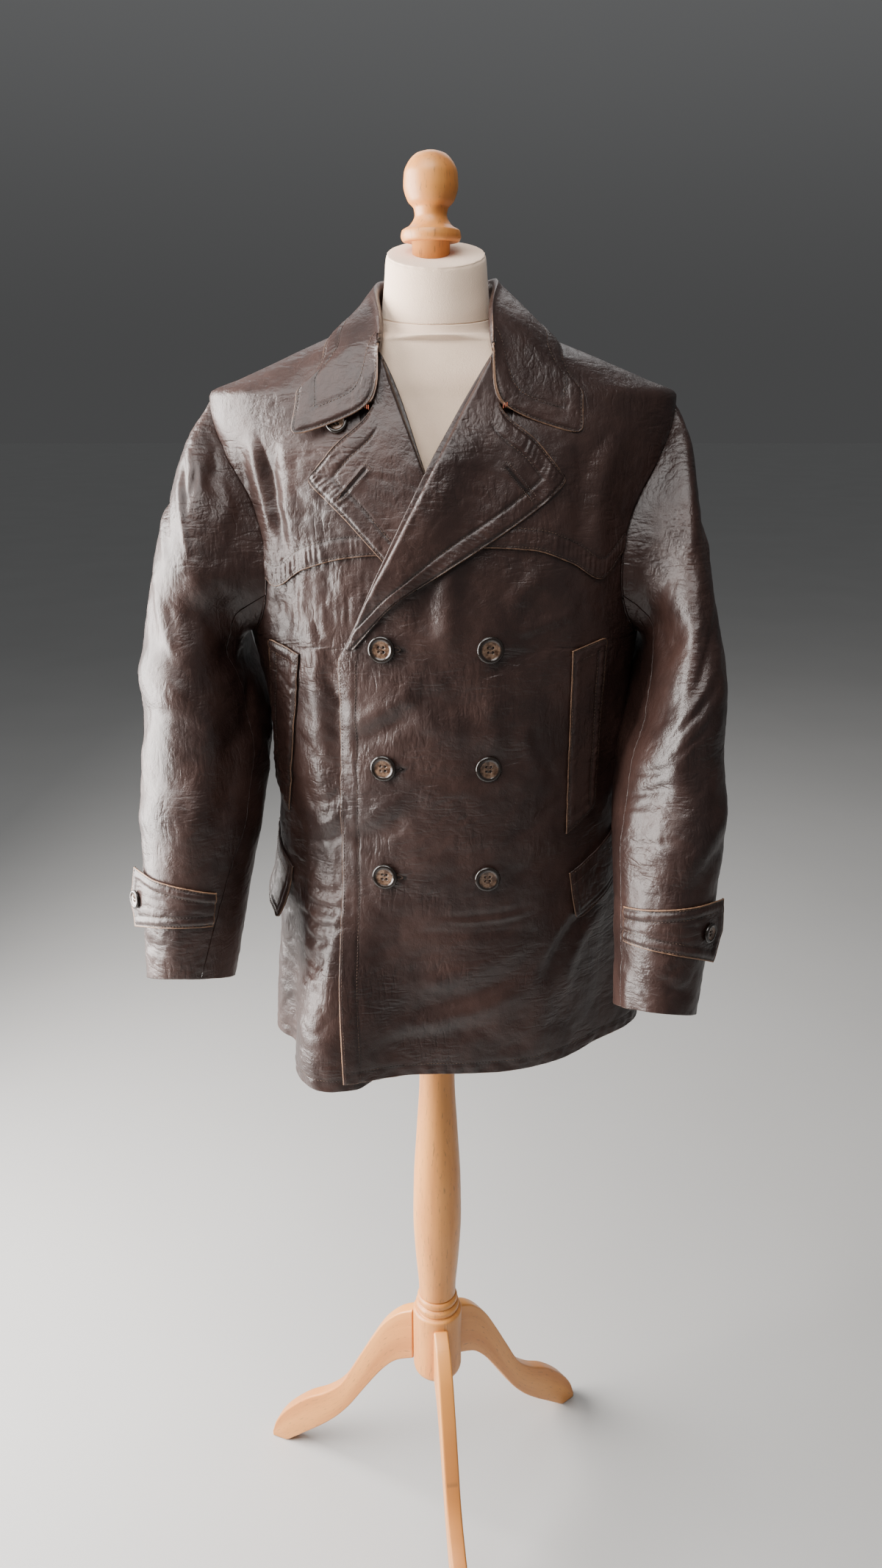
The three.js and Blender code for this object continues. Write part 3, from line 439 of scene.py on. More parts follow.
@dataclass
class CoatBody:
    """The shape that the coat hangs in, read by angle (0 in front, 90 at +X) and height."""

    z: Sizes = (
        780, 810, 950, 1100, 1230, 1300, 1400, 1480, 1541, 1555, 1570, 1584, 1594, 1602, 1610,
    )
    half_width: Sizes = (
        228, 226, 208, 200, 204, 214, 226, 235, 239, 207, 171, 137, 111, 88, 66,
    )
    middle: Sizes = (28, 26, 21, 16, 12, 9, 7, 7, 7, 7, 6, 4, 2, 1, 0)
    front: Sizes = (142, 140, 138, 136, 134, 132, 122, 104, 79, 75, 71, 67, 64, 61, 58)
    back: Sizes = (130, 128, 124, 120, 122, 124, 122, 112, 93, 88, 84, 80, 76, 72, 66)
    # Angle, spread, height, full below, gone above
    drapes: Table = (
        (-38, 11, 54, 812, 1085),
        (-64, 7, -13, 812, 1050),
        (52, 16, -22, 815, 1080),
        (150, 12, 8, 815, 1040),
        (182, 13, -9, 815, 1060),
        (212, 12, 8, 815, 1040),
    )
    shoulder_dent: Sizes = (52, 9, -7, 1365, 1525)
    armpit_z: float = 1299
    tip_z: float = 1541
    scoop_front: float = 40
    scoop_back: float = 24
    over_z: Sizes = (780, 860, 960, 1080, 1285, 1300, 1577, 1602)
    over_x: Sizes = (-89, -91, -96, -101, -100, -93, 52, 74)
    under_z: Sizes = (780, 1240, 1300, 1464, 1577, 1602)
    under_x: Sizes = (82, 80, 57, -7, -51, -74)
    patches: Sequence[Patch] = (
        Patch(-115, 42, 1345, 38, 1.3, 0, (7, 40, 46)),
        Patch(-124, 26, 985, 62, 1.1, 31, (26, 40, 8)),
    )
    placed_gain: float = 1.35
    crumple_gain: float = 1.35
    chart_phi: float = 0.5
    chart_z: float = 2.0
    chart_low: float = 770
    chart_high: float = 1620
    chart: Array = field(init=False)

    def __post_init__(self) -> None:
        """Works out the chart of creases once, for every piece to share."""
        phi = np.arange(-180, 180 + self.chart_phi, self.chart_phi)
        z = np.arange(self.chart_low, self.chart_high, self.chart_z)
        phi, z = np.meshgrid(phi, z)
        p = self.bare(phi, z)
        front = smooth((np.cos(np.radians(phi)) + 0.12) / 0.24)
        placed = front * total_relief(FRONT_CREASES, p[..., 0], z)
        placed += (1 - front) * total_relief(BACK_CREASES, p[..., 0], z)
        for patch in self.patches:
            placed += patch.relief(p) * front
        calm = 1 - 0.75 * smooth((z - 1490) / 70)
        busy = self.crumple_gain + 0.75 * smooth((-88 - p[..., 0]) / 24) * front
        height = (self.placed_gain * placed + busy * crumple(p)) * calm
        deepest = -9 + 8.8 * smooth((z - 1440) / 70)
        self.chart = np.maximum(height, deepest)

    def relief(self, phi: Array, z: Array) -> Array:
        """Height of creases at an angle and height, read between the chart's lines."""
        rows, cols = self.chart.shape
        a = ((np.asarray(phi, float) + 180) % 360) / self.chart_phi
        b = np.clip((np.asarray(z, float) - self.chart_low) / self.chart_z, 0, rows - 1.001)
        i, j = np.minimum(np.floor(a).astype(int), cols - 2), np.floor(b).astype(int)
        f, g = a - i, b - j
        low = self.chart[j, i] * (1 - f) + self.chart[j, i + 1] * f
        high = self.chart[j + 1, i] * (1 - f) + self.chart[j + 1, i + 1] * f
        return low * (1 - g) + high * g

    def drape(self, phi: Array, z: Array) -> Array:
        """Height of the large folds: bells in angle that open towards the hem."""
        total = np.zeros(np.broadcast(phi, z).shape)
        for at, spread, height, low, high in self.drapes:
            open_share = 1 - smooth((z - low) / (high - low))
            total = total + height * bell(wrap(phi - at) / spread) * open_share
        at, spread, height, low, high = self.shoulder_dent
        mid = (low + high) / 2
        window = smooth(1 - np.abs(z - mid) / (high - mid))
        return total + height * window * bell((np.abs(phi) - at) / spread)

    def bare(self, phi: Array, z: Array) -> Array:
        """Half ellipses in front and behind, with sizes read up the height."""
        phi, z = np.broadcast_arrays(np.asarray(phi, float), np.asarray(z, float))
        s, c = np.sin(np.radians(phi)), np.cos(np.radians(phi))
        depth = np.where(c > 0, along(self.z, self.front, z), along(self.z, self.back, z))
        x = along(self.z, self.middle, z) + along(self.z, self.half_width, z) * s
        return np.stack([x, -depth * c, z], axis=-1)

    def bare_normal(self, phi: Array, z: Array) -> Array:
        """Outward direction of the bare shape."""
        return surface_normal(self.bare, phi, z, 0.4, 0.6)

    def draped(self, phi: Array, z: Array, out: Array | float = 0.0, folds: bool = True) -> Array:
        """The shape with its large folds, moved out along the bare normal."""
        lift = out + (self.drape(phi, z) if folds else 0)
        return self.bare(phi, z) + self.bare_normal(phi, z) * np.asarray(lift)[..., None]

    def normal(self, phi: Array, z: Array) -> Array:
        """Outward direction of the draped shape."""
        return surface_normal(self.draped, phi, z, 0.5, 0.8)

    def cell(self, phi: Array, z: Array, out: Array | float, creased: bool = True) -> Pair:
        """Points and normals of a layer that lies out from the creased body.

        Args:
            phi: Angles.
            z: Heights.
            out: Distance out from the body.
            creased: False leaves the creases out.

        Returns:
            Points and outward normals.
        """
        phi, z = np.broadcast_arrays(np.asarray(phi, float), np.asarray(z, float))
        n = self.normal(phi, z)
        lift = np.asarray(out) + (self.relief(phi, z) if creased else np.zeros(phi.shape))
        return self.draped(phi, z) + n * lift[..., None], n

    def angle_at(self, x: Array, z: Array) -> Array:
        """Angle of the place in front that has a given x."""
        s = (x - along(self.z, self.middle, z)) / along(self.z, self.half_width, z)
        return np.degrees(np.arcsin(np.clip(s, -1, 1)))

    def arm_angle(self, z: Array, scoop: float) -> Array:
        """Half angle left standing beside the armhole at a height."""
        t = clamp01((np.asarray(z, float) - self.armpit_z) / (self.tip_z - self.armpit_z))
        depth = scoop * np.sin(np.pi * t**0.7) * (1 - t**4)
        w = along(self.z, self.half_width, z)
        return np.degrees(np.arcsin(np.clip((w - depth) / w, -1, 1)))

    def over_out(self, phi: Array, z: Array) -> Array:
        """How far the over front rides out on the under front and the lapel below it."""
        from_roll = self.bare(phi, z)[..., 0] - along(self.over_z, self.over_x, z)
        window = smooth((z - 1322) / 45) * (1 - smooth((z - 1476) / 40))
        ride = 7.2 * window * (1 - smooth((from_roll - 20) / 45))
        hem = 3.2 * (1 - smooth((z - 830) / 180)) * (1 - smooth((phi + 25) / 30))
        return OVER_STEP * (1 - smooth((phi - 36) / 26)) + ride + hem

    def front_out(self, side: Side, phi: Array, z: Array) -> Array | float:
        """How far the front panel on a side lies out from the body."""
        return self.over_out(phi, z) if side is Side.LEFT else 0


# Cut pieces


def make_object(name: str, points: Array, quads: Array, tris: Array | None = None) -> Object:
    """Mesh object at the origin from points about the post axis.

    Args:
        name: Name of the piece.
        points: Points in millimetres about the post axis.
        quads: Rows of four point numbers.
        tris: Rows of three point numbers.

    Returns:
        The new object, linked to the scene and shaded smooth.
    """
    tris = np.zeros((0, 3), int) if tris is None else tris
    mesh = bpy.data.meshes.new(name)
    mesh.vertices.add(len(points))
    mesh.vertices.foreach_set("co", ((points + AXIS) * MM).astype(np.float32).ravel())
    corners = np.concatenate([quads.ravel(), tris.ravel()]).astype(np.int32)
    mesh.loops.add(len(corners))
    mesh.loops.foreach_set("vertex_index", corners)
    tri_starts = len(quads) * 4 + np.arange(len(tris)) * 3
    starts = np.concatenate([np.arange(len(quads)) * 4, tri_starts])
    mesh.polygons.add(len(starts))
    mesh.polygons.foreach_set("loop_start", starts.astype(np.int32))
    mesh.polygons.foreach_set("use_smooth", np.ones(len(starts), bool))
    mesh.update(calc_edges=True)
    mesh.validate()
    obj = bpy.data.objects.new(name, mesh)
    bpy.context.collection.objects.link(obj)
    return obj


def set_mask(obj: Object, name: str, values: Array) -> None:
    """Stores one number for each point of a mesh."""
    layer = obj.data.attributes.new(name, "FLOAT", "POINT")
    layer.data.foreach_set("value", values.astype(np.float32).ravel())


def grid_quads(rows: int, cols: int, start: int = 0, flip: bool = False) -> Array:
    """Point numbers of the cells of a grid."""
    j, i = np.meshgrid(np.arange(rows - 1), np.arange(cols - 1), indexing="ij")
    a = (start + j * cols + i).ravel()
    order = [a, a + 1, a + cols + 1, a + cols]
    return np.stack(order[::-1] if flip else order, axis=1)


def turned_faces(rows: int, cols: int) -> Pair:
    """Faces of a grid that closes on itself, with a middle point for each end.

    Args:
        rows: Rings of the grid.
        cols: Points in a ring.

    Returns:
        Quads round the grid, and tris to the two points that follow it.
    """
    j = np.arange(rows - 1) * cols
    closing = np.stack([j + cols - 1, j, j + cols, j + cols + cols - 1], axis=1)
    k, after = np.arange(cols), (np.arange(cols) + 1) % cols
    low, last = np.full(cols, rows * cols), (rows - 1) * cols
    ends = [np.stack([low, after, k], 1), np.stack([low + 1, last + k, last + after], 1)]
    return np.concatenate([grid_quads(rows, cols), closing]), np.concatenate(ends)


def rim_loop(rows: int, cols: int, start: int = 0) -> Array:
    """Point numbers round the edge of a grid, closed."""
    foot = np.arange(cols - 1)
    end = np.arange(rows - 1) * cols + cols - 1
    top = (rows - 1) * cols + np.arange(cols - 1, 0, -1)
    side = np.arange(rows - 1, 0, -1) * cols
    loop = np.concatenate([foot, end, top, side])
    return start + np.append(loop, loop[0])


@dataclass
class Cloth:
    """A cut piece as a grid of points with outward normals, rows from foot to top."""

    name: str
    points: Array
    normals: Array
    wear: Array = field(init=False)
    # Painted shade: darker colour in grooves, slits, openings and on the wall behind
    dirt: Array = field(init=False)
    across: Array = field(init=False)
    upward: Array = field(init=False)
    cut: tuple[float, float, float] = field(init=False)

    def __post_init__(self) -> None:
        """Clears the masks and keeps the lengths and the cut from before creasing."""
        self.wear = np.zeros(self.points.shape[:2])
        self.dirt = np.zeros(self.points.shape[:2])
        right = np.linalg.norm(np.diff(self.points, axis=1), axis=-1)
        up = np.linalg.norm(np.diff(self.points, axis=0), axis=-1)
        self.across = np.pad(np.cumsum(right, axis=1), ((0, 0), (1, 0)))
        self.upward = np.pad(np.cumsum(up, axis=0), ((1, 0), (0, 0)))
        self.cut = self.cut_size()

    def away(self, edge: Edge) -> Array:
        """Distance of every point from an edge."""
        if edge is Edge.START:
            return self.across
        if edge is Edge.END:
            return self.across[:, -1:] - self.across
        if edge is Edge.FOOT:
            return self.upward
        return self.upward[-1:, :] - self.upward

    def nearest(self, edges: Sequence[Edge]) -> Pair:
        """Distance from the nearest of some edges, and the place along that edge."""
        near = np.full(self.points.shape[:2], np.inf)
        place = np.zeros_like(near)
        for edge in edges:
            d = self.away(edge)
            s = self.upward if edge in (Edge.START, Edge.END) else self.across
            place = np.where(d < near, s, place)
            near = np.minimum(near, d)
        return near, place

    def soil(self, mask: Array) -> None:
        """Adds to the painted shade mask, which darkens the colour where shade falls."""
        self.dirt = np.maximum(self.dirt, mask)

    def rub(self, mask: Array) -> None:
        """Adds to the wear mask."""
        self.wear = np.maximum(self.wear, mask)

    def emboss(self, height: Array) -> None:
        """Moves the points out along their normals."""
        self.points = self.points + self.normals * height[..., None]

    def turn_edges(self, edges: Sequence[Edge], worn: float, spread: float = 1.6) -> None:
        """Rounds the edges over and wears some of them.

        Args:
            edges: Edges that are worn.
            worn: Strength of the wear.
            spread: Width of the worn line.
        """
        every, _ = self.nearest(list(Edge))
        inside = np.clip(TURNED_EDGE - every, 0, TURNED_EDGE)
        self.emboss(-(TURNED_EDGE - np.sqrt(TURNED_EDGE**2 - inside**2)))
        if edges:
            near, _ = self.nearest(edges)
            self.rub(worn * np.exp(-((near / spread) ** 2)))

    def roll_edge(self, edge: Edge, radius: float) -> None:
        """Rolls one edge over by a quarter of a round."""
        inside = np.clip(radius - self.away(edge), 0, radius)
        self.emboss(np.sqrt(radius**2 - inside**2) - radius)

    def sew(
        self,
        edges: Sequence[Edge],
        rows: Sizes,
        pucker: float,
        swell: float = 0.5,
        where: Array | float = 1.0,
    ) -> None:
        """Sinks a groove under each stitch row, paints shade into it, and puckers the leather between them.

        Args:
            edges: Edges that the rows follow.
            rows: Distances of the rows from the edge.
            pucker: Height of the puckers between the first and the last row.
            swell: Height of the roll between the rows.
            where: Strength of the sewing at each point.
        """
        near, place = self.nearest(edges)
        groove = sum(bell((near - row) / GROOVE) for row in rows) * where
        height = -0.8 * groove
        # Painted shade in the groove under each stitch row
        self.soil(0.7 * clamp01(groove))
        if len(rows) > 1:
            low, high = rows[0], rows[-1]
            window = smooth((near - low) / 3.5) * smooth((high - near) / 5) * where
            slant = place + 0.3 * near
            wave = np.sin(slant / 0.98 + 1.9 * np.sin(slant / 8.3) + 1.7 * np.sin(slant / 23))
            ridge = (0.5 + 0.5 * wave) ** 2
            slow = 0.55 + 0.45 * np.sin(place / 17 + 1.3) * np.sin(place / 41)
            patch = clamp01(slow + 0.3 * np.sin(place / 6.1))
            height = height + window * (swell + pucker * (ridge - 0.35) * patch)
            self.rub(0.3 * window * ridge * patch)
        self.emboss(height)

    def stitch_row(self, edge: Edge, distance: float, clear: Sequence[Edge] = ()) -> Pair:
        """Path at a distance from an edge.

        Args:
            edge: Edge that the path follows.
            distance: Distance from it.
            clear: Other edges that the path keeps the same distance from.

        Returns:
            Points and normals along the path.
        """
        flip = edge in (Edge.FOOT, Edge.TOP)
        turn = (lambda a: np.swapaxes(a, 0, 1)) if flip else (lambda a: a)
        d, p, n = turn(self.away(edge)), turn(self.points), turn(self.normals)
        if edge in (Edge.END, Edge.TOP):
            d, p, n = d[:, ::-1], p[:, ::-1], n[:, ::-1]
        k = np.clip(np.argmax(d > distance, axis=1), 1, d.shape[1] - 1)
        r = np.arange(len(d))
        f = ((distance - d[r, k - 1]) / np.maximum(d[r, k] - d[r, k - 1], 1e-6))[:, None]
        keep = d.max(axis=1) > distance
        for other in clear:
            o = turn(self.away(other))
            o = o[:, ::-1] if edge in (Edge.END, Edge.TOP) else o
            keep &= o[r, k] >= distance
        path = p[r, k - 1] * (1 - f) + p[r, k] * f
        return path[keep], (n[r, k - 1] * (1 - f) + n[r, k] * f)[keep]

    def renew_normals(self) -> None:
        """Works the normals out again from the creased grid, on the same side as before."""
        n = grid_normals(self.points)
        same = np.sum(n * self.normals, axis=-1, keepdims=True)
        self.normals = np.where(same < 0, -n, n)

    def build(self) -> Object:
        """Closes the grid to a wall, with a plainer grid of every second line behind it.

        Returns:
            The finished object, with its wear mask and its painted shade mask, which is half strong on the
            hidden wall behind.
        """
        self.renew_normals()
        rows, cols = self.points.shape[:2]
        inner = self.points[::2, ::2] - self.normals[::2, ::2] * WALL
        inner_rows, inner_cols = inner.shape[:2]
        count = rows * cols
        flip = float(np.sum(grid_normals(self.points) * self.normals)) < 0
        quads = [grid_quads(rows, cols, 0, flip), grid_quads(inner_rows, inner_cols, count, not flip)]
        o, i = rim_loop(rows, cols), rim_loop(inner_rows, inner_cols, count)
        o0, o1, o2 = o[0:-1:2], o[1::2], o[2::2]
        fans = ((o1, o0, i[:-1]), (o1, i[:-1], i[1:]), (o2, o1, i[1:]))
        tris = np.concatenate([np.stack(fan, 1) for fan in fans])
        tris = tris[:, ::-1] if flip else tris
        points = np.concatenate([self.points.reshape(-1, 3), inner.reshape(-1, 3)])
        obj = make_object(self.name, points, np.concatenate(quads), tris)
        # The wall behind gets no wear, and painted shade at half strength
        for name, mask, behind in (("wear", self.wear, 0.0), ("dirt", self.dirt, 0.5)):
            hidden = np.full(inner_rows * inner_cols, behind)
            set_mask(obj, name, np.concatenate([mask.ravel(), hidden]))
        return obj

    def cut_size(self) -> tuple[float, float, float]:
        """Flat width, length and area of the cut in metres."""
        right, up = np.diff(self.points, axis=1)[:-1], np.diff(self.points, axis=0)[:, :-1]
        area = np.linalg.norm(np.cross(right, up), axis=-1).sum()
        width, length = float(self.across[:, -1].max()), float(self.upward[-1].max())
        return width * MM, length * MM, min(float(area) * MM * MM, width * length * MM * MM)


def round_corner(u: Array, v: Array, reach: tuple[float, float], high_u: bool, high_v: bool) -> Pair:
    """Draws one corner of a unit grid in to a quarter circle.

    Args:
        u: First coordinate of the grid, 0 to 1.
        v: Second coordinate of the grid, 0 to 1.
        reach: Size of the round in each coordinate.
        high_u: True for the corner at u of 1.
        high_v: True for the corner at v of 1.

    Returns:
        The two coordinates with that corner rounded.
    """
    a = u if high_u else 1 - u
    b = v if high_v else 1 - v
    p, q = (clamp01((k - 1 + size) / size) for k, size in zip((a, b), reach))
    inside = (p > 0) & (q > 0)
    a = np.where(inside, 1 - reach[0] + reach[0] * p * np.sqrt(1 - q * q / 2), a)
    b = np.where(inside, 1 - reach[1] + reach[1] * q * np.sqrt(1 - p * p / 2), b)
    return (a if high_u else 1 - a), (b if high_v else 1 - b)


@dataclass
class Thread:
    """Stitches of one thread, kept as pairs of ends and joined to one mesh."""

    name: str
    radius: float = 0.36
    ends: list[tuple[Array, Array, Array]] = field(default_factory=list)

    def run(self, path: Array, normals: Array, pitch: float = 3.6, length: float = 2.9) -> None:
        """Lays even stitches along a path.

        Args:
            path: Points of the path.
            normals: Outward normals along it.
            pitch: Distance from stitch to stitch.
            length: Length of one stitch.
        """
        if len(path) < 2:
            return
        s = lengths(path)
        middles = (np.arange(int(s[-1] / pitch)) + 0.5) * pitch
        start, end = (read_points(middles + k * length / 2, s, path) for k in (-1, 1))
        self.ends.append((start, end, unit(read_points(middles, s, normals))))

    def bar(self, start: Array, end: Array, normal: Array) -> None:
        """Lays single stitches from start to end."""
        self.ends.append((np.atleast_2d(start), np.atleast_2d(end), np.atleast_2d(normal)))

    def build(self) -> Object:
        """Joins the stitches: four-sided threads that dip into the leather at both ends.

        Returns:
            The finished object.
        """
        a, b, n = (np.concatenate([e[k] for e in self.ends]) for k in range(3))
        side = unit(np.cross(b - a, n))
        share = np.array([0.0, 0.22, 0.78, 1.0])
        lift = np.array([-0.45, 0.3, 0.3, -0.45]) * self.radius
        thick = np.array([0.45, 1.0, 1.0, 0.45]) * self.radius
        turn = np.radians([45, 135, 225, 315])
        line = a[:, None] + (b - a)[:, None] * share[:, None] + n[:, None] * lift[:, None]
        ring = side[:, None, None] * np.cos(turn)[:, None] + n[:, None, None] * np.sin(turn)[:, None]
        points = line[:, :, None] + ring * thick[:, None, None]
        ring_ends = [[3, 2, 1, 0], [12, 13, 14, 15]]
        sides = [[k, (k + 1) % 4, 4 + (k + 1) % 4, 4 + k] for k in range(4)]
        base = np.concatenate([np.array(sides) + 4 * r for r in range(3)] + [ring_ends])
        quads = (np.arange(len(a))[:, None, None] * 16 + base).reshape(-1, 4)
        return make_object(self.name, points.reshape(-1, 3), quads)


# Materials


class Tree:
    """Small helper that adds and joins nodes in a node tree."""

    def __init__(self, tree: NodeTree) -> None:
        """Keeps the tree that nodes go into."""
        self.tree = tree
        self.count = 0

    def node(self, kind: str, **settings: object) -> Node:
        """Adds a node and sets its properties."""
        node = self.tree.nodes.new(kind)
        node.location = (self.count % 12 * 220, -(self.count // 12) * 320)
        self.count += 1
        for key, value in settings.items():
            setattr(node, key, value)
        return node

    def put(self, socket: Socket, value: object) -> None:
        """Joins an output to a socket, or sets the socket's own value."""
        if isinstance(value, Socket):
            self.tree.links.new(value, socket)
        else:
            socket.default_value = value

    def fill(self, node: Node, values: dict[str, object]) -> None:
        """Joins or sets several of a node's inputs by name."""
        for key, value in values.items():
            self.put(node.inputs[key], value)

    def place(self, kind: str = "Object") -> Socket:
        """Adds a texture coordinate and gives it."""
        return self.node("ShaderNodeTexCoord").outputs[kind]

    def math(self, kind: str, *values: object) -> Socket:
        """Adds a math node and gives its output."""
        node = self.node("ShaderNodeMath", operation=kind)
        for socket, value in zip(node.inputs, values):
            self.put(socket, value)
        return node.outputs[0]

    def ramp(self, value: object, low: float, high: float) -> Socket:
        """Adds a smooth map of a value's range to 0 to 1."""
        node = self.node("ShaderNodeMapRange", interpolation_type="SMOOTHSTEP")
        self.fill(node, {"Value": value, "From Min": low, "From Max": high})
        return node.outputs["Result"]

    def mix(self, share: object, a: object, b: object) -> Socket:
        """Adds a colour mix and gives its output."""
        node = self.node("ShaderNodeMix", data_type="RGBA")
        for number, value in ((0, share), (6, a), (7, b)):
            self.put(node.inputs[number], value)
        return node.outputs[2]

    def noise(self, place: object, scale: object, detail: float = 3.0, rough: float = 0.5) -> Socket:
        """Adds a noise texture and gives its value."""
        node = self.node("ShaderNodeTexNoise")
        self.fill(node, {"Vector": place, "Scale": scale, "Detail": detail, "Roughness": rough})
        return node.outputs[0]

    def cells(self, place: object, scale: object, feature: str) -> Socket:
        """Adds a cell texture and gives its distance."""
        node = self.node("ShaderNodeTexVoronoi", feature=feature)
        self.fill(node, {"Vector": place, "Scale": scale})
        return node.outputs["Distance"]

    def stretch(self, place: object, scale: tuple[float, float, float]) -> Socket:
        """Adds a Mapping node that scales a place."""
        node = self.node("ShaderNodeMapping")
        self.fill(node, {"Vector": place, "Scale": scale})
        return node.outputs[0]

    def mask(self, name: str) -> Socket:
        """Adds a mesh attribute and gives its number."""
        return self.node("ShaderNodeAttribute", attribute_name=name).outputs["Fac"]


def new_group(name: str, inputs: dict[str, object], outputs: Sequence[str]) -> tuple[Tree, dict, dict]:
    """Starts a shader node group.

    Args:
        name: Name of the group.
        inputs: Names and default values; None makes a vector.
        outputs: Names of the number outputs.

    Returns:
        The tree helper, the inputs' sockets and the outputs' sockets, by name.
    """
    tree = bpy.data.node_groups.new(name, "ShaderNodeTree")
    for key, value in inputs.items():
        kind = "NodeSocketVector" if value is None else "NodeSocketFloat"
        socket = tree.interface.new_socket(key, in_out="INPUT", socket_type=kind)
        if value is not None:
            socket.default_value = value
    for key in outputs:
        tree.interface.new_socket(key, in_out="OUTPUT", socket_type="NodeSocketFloat")
    helper = Tree(tree)
    source, sink = helper.node("NodeGroupInput"), helper.node("NodeGroupOutput")
    return helper, {k: source.outputs[k] for k in inputs}, {k: sink.inputs[k] for k in outputs}


def hide_group() -> NodeTree:
    """Leather: a fine pebbled grain on slow swells, cut by wrinkles in three directions.

    A wrinkle lies where a noise crosses its middle value. Each row of the table gives its scale, the
    way it is stretched, the width and depth of the trough, and the scale of the regions that have it.
    """
    inputs = {"Vector": None, "Grain": 820.0, "Wrinkle": 150.0}
    t, i, o = new_group("hide_grain", inputs, ["Height", "Tone"])
    pebble = t.cells(i["Vector"], i["Grain"], "SMOOTH_F1")
    swell = t.noise(i["Vector"], 62.0)
    height = t.math("MULTIPLY_ADD", pebble, -0.12, t.math("MULTIPLY", swell, 1.1))
    for scale, way, width, depth, region in (
        (i["Wrinkle"], (1.0, 1.0, 1.0), 0.14, 0.1, 34.0),
        (62.0, (0.5, 0.5, 1.7), 0.12, 0.26, 17.0),
        (70.0, (1.5, 1.5, 0.45), 0.12, 0.2, 15.0),
    ):
        noise = t.noise(t.stretch(i["Vector"], way), scale, 2.0)
        fold = t.math("ABSOLUTE", t.math("SUBTRACT", noise, 0.5))
        trough = t.math("SUBTRACT", 1.0, t.ramp(fold, 0.0, width))
        there = t.ramp(t.noise(i["Vector"], region, 1.0), 0.42, 0.62)
        cut = t.math("MULTIPLY", t.math("MULTIPLY", trough, there), depth)
        height = t.math("SUBTRACT", height, cut)
    t.put(o["Height"], height)
    t.put(o["Tone"], t.noise(i["Vector"], 13.0, 5.0, 0.6))
    return t.tree


def wear_group() -> NodeTree:
    """Worn edges: a painted mask broken up by noise, so that the wear comes and goes."""
    t, i, o = new_group("edge_wear", {"Vector": None, "Mask": 0.0, "Scale": 120.0}, ["Worn"])
    rough = t.noise(i["Vector"], i["Scale"], 4.0, 0.65)
    slow = t.noise(i["Vector"], 11.0, 2.0, 0.5)
    gate = t.math("ADD", t.math("MULTIPLY", rough, 0.7), t.math("MULTIPLY", slow, 0.7))
    edge = t.math("SUBTRACT", t.math("ADD", i["Mask"], gate), 1.05)
    t.put(o["Worn"], t.ramp(edge, 0.0, 0.75))
    return t.tree


def fleck_group() -> NodeTree:
    """Beech figure: long soft bands with short dark flecks along the grain."""
    t, i, o = new_group("beech_figure", {"Vector": None, "Scale": 1.0}, ["Band", "Fleck"])
    scaled = t.node("ShaderNodeVectorMath", operation="SCALE")
    t.put(scaled.inputs[0], i["Vector"])
    t.put(scaled.inputs["Scale"], i["Scale"])
    place = scaled.outputs[0]
    wide = t.noise(t.stretch(place, (1.0, 1.0, 0.09)), 46.0, 5.0, 0.6)
    t.put(o["Band"], t.ramp(wide, 0.3, 0.72))
    dash = t.noise(t.stretch(place, (1.0, 1.0, 0.16)), 420.0, 2.0, 0.5)
    t.put(o["Fleck"], t.ramp(dash, 0.6, 0.72))
    return t.tree


def start_material(name: str) -> tuple[Tree, Node, Material]:
    """New material with an empty tree, a Principled shader and an output."""
    material = bpy.data.materials.new(name)
    material.use_nodes = True
    material.node_tree.nodes.clear()
    t = Tree(material.node_tree)
    shader = t.node("ShaderNodeBsdfPrincipled")
    out = t.node("ShaderNodeOutputMaterial")
    t.put(out.inputs["Surface"], shader.outputs[0])
    return t, shader, material


def use_group(t: Tree, group: NodeTree, **values: object) -> Node:
    """Places a group in a material with its own values."""
    node = t.node("ShaderNodeGroup", node_tree=group)
    t.fill(node, values)
    return node


def bump(t: Tree, shader: Node, height: Socket, depth: float) -> None:
    """Feeds a height into the shader's normal."""
    node = t.node("ShaderNodeBump")
    t.fill(node, {"Strength": 1.0, "Distance": depth, "Height": height})
    t.put(shader.inputs["Normal"], node.outputs[0])


@dataclass(frozen=True)
class LeatherFinish:
    """Semi-gloss brown hide, worn to tan along edges, with painted shade in its grooves, slits, pocket
    openings and hidden inner wall.
    """

    name: str = "coat_leather"
    deep: Colour = (0.019, 0.0086, 0.0068, 1)
    warm: Colour = (0.040, 0.0186, 0.0142, 1)
    worn: Colour = (0.30, 0.165, 0.092, 1)
    # Near-black colour of the painted shade in stitch grooves, slits, pocket openings and on the hidden
    # inner wall
    grime: Colour = (0.007, 0.0045, 0.004, 1)
    gloss: float = 0.33
    gloss_varies: float = 0.16
    worn_dull: float = 0.22
    specular: float = 0.54
    # How far the painted shade mask darkens the colour
    dirt_share: float = 0.7
    grain_depth: float = 0.0011

    def make(self, groups: dict[str, NodeTree]) -> Material:
        """Builds the material from the shared groups."""
        t, shader, material = start_material(self.name)
        place = t.place()
        hide = use_group(t, groups["hide"], Vector=place)
        worn = use_group(t, groups["wear"], Vector=place, Mask=t.mask("wear")).outputs[0]
        tone = hide.outputs["Tone"]
        colour = t.mix(t.ramp(tone, 0.32, 0.7), self.deep, self.warm)
        # Painted shade: the colour darkens where the painted shade mask is set
        colour = t.mix(t.math("MULTIPLY", t.mask("dirt"), self.dirt_share), colour, self.grime)
        rough = t.math("MULTIPLY_ADD", tone, self.gloss_varies, self.gloss)
        t.put(shader.inputs["Base Color"], t.mix(worn, colour, self.worn))
        t.put(shader.inputs["Roughness"], t.math("MULTIPLY_ADD", worn, self.worn_dull, rough))
        t.put(shader.inputs["Specular IOR Level"], self.specular)
        bump(t, shader, hide.outputs["Height"], self.grain_depth)
        return material


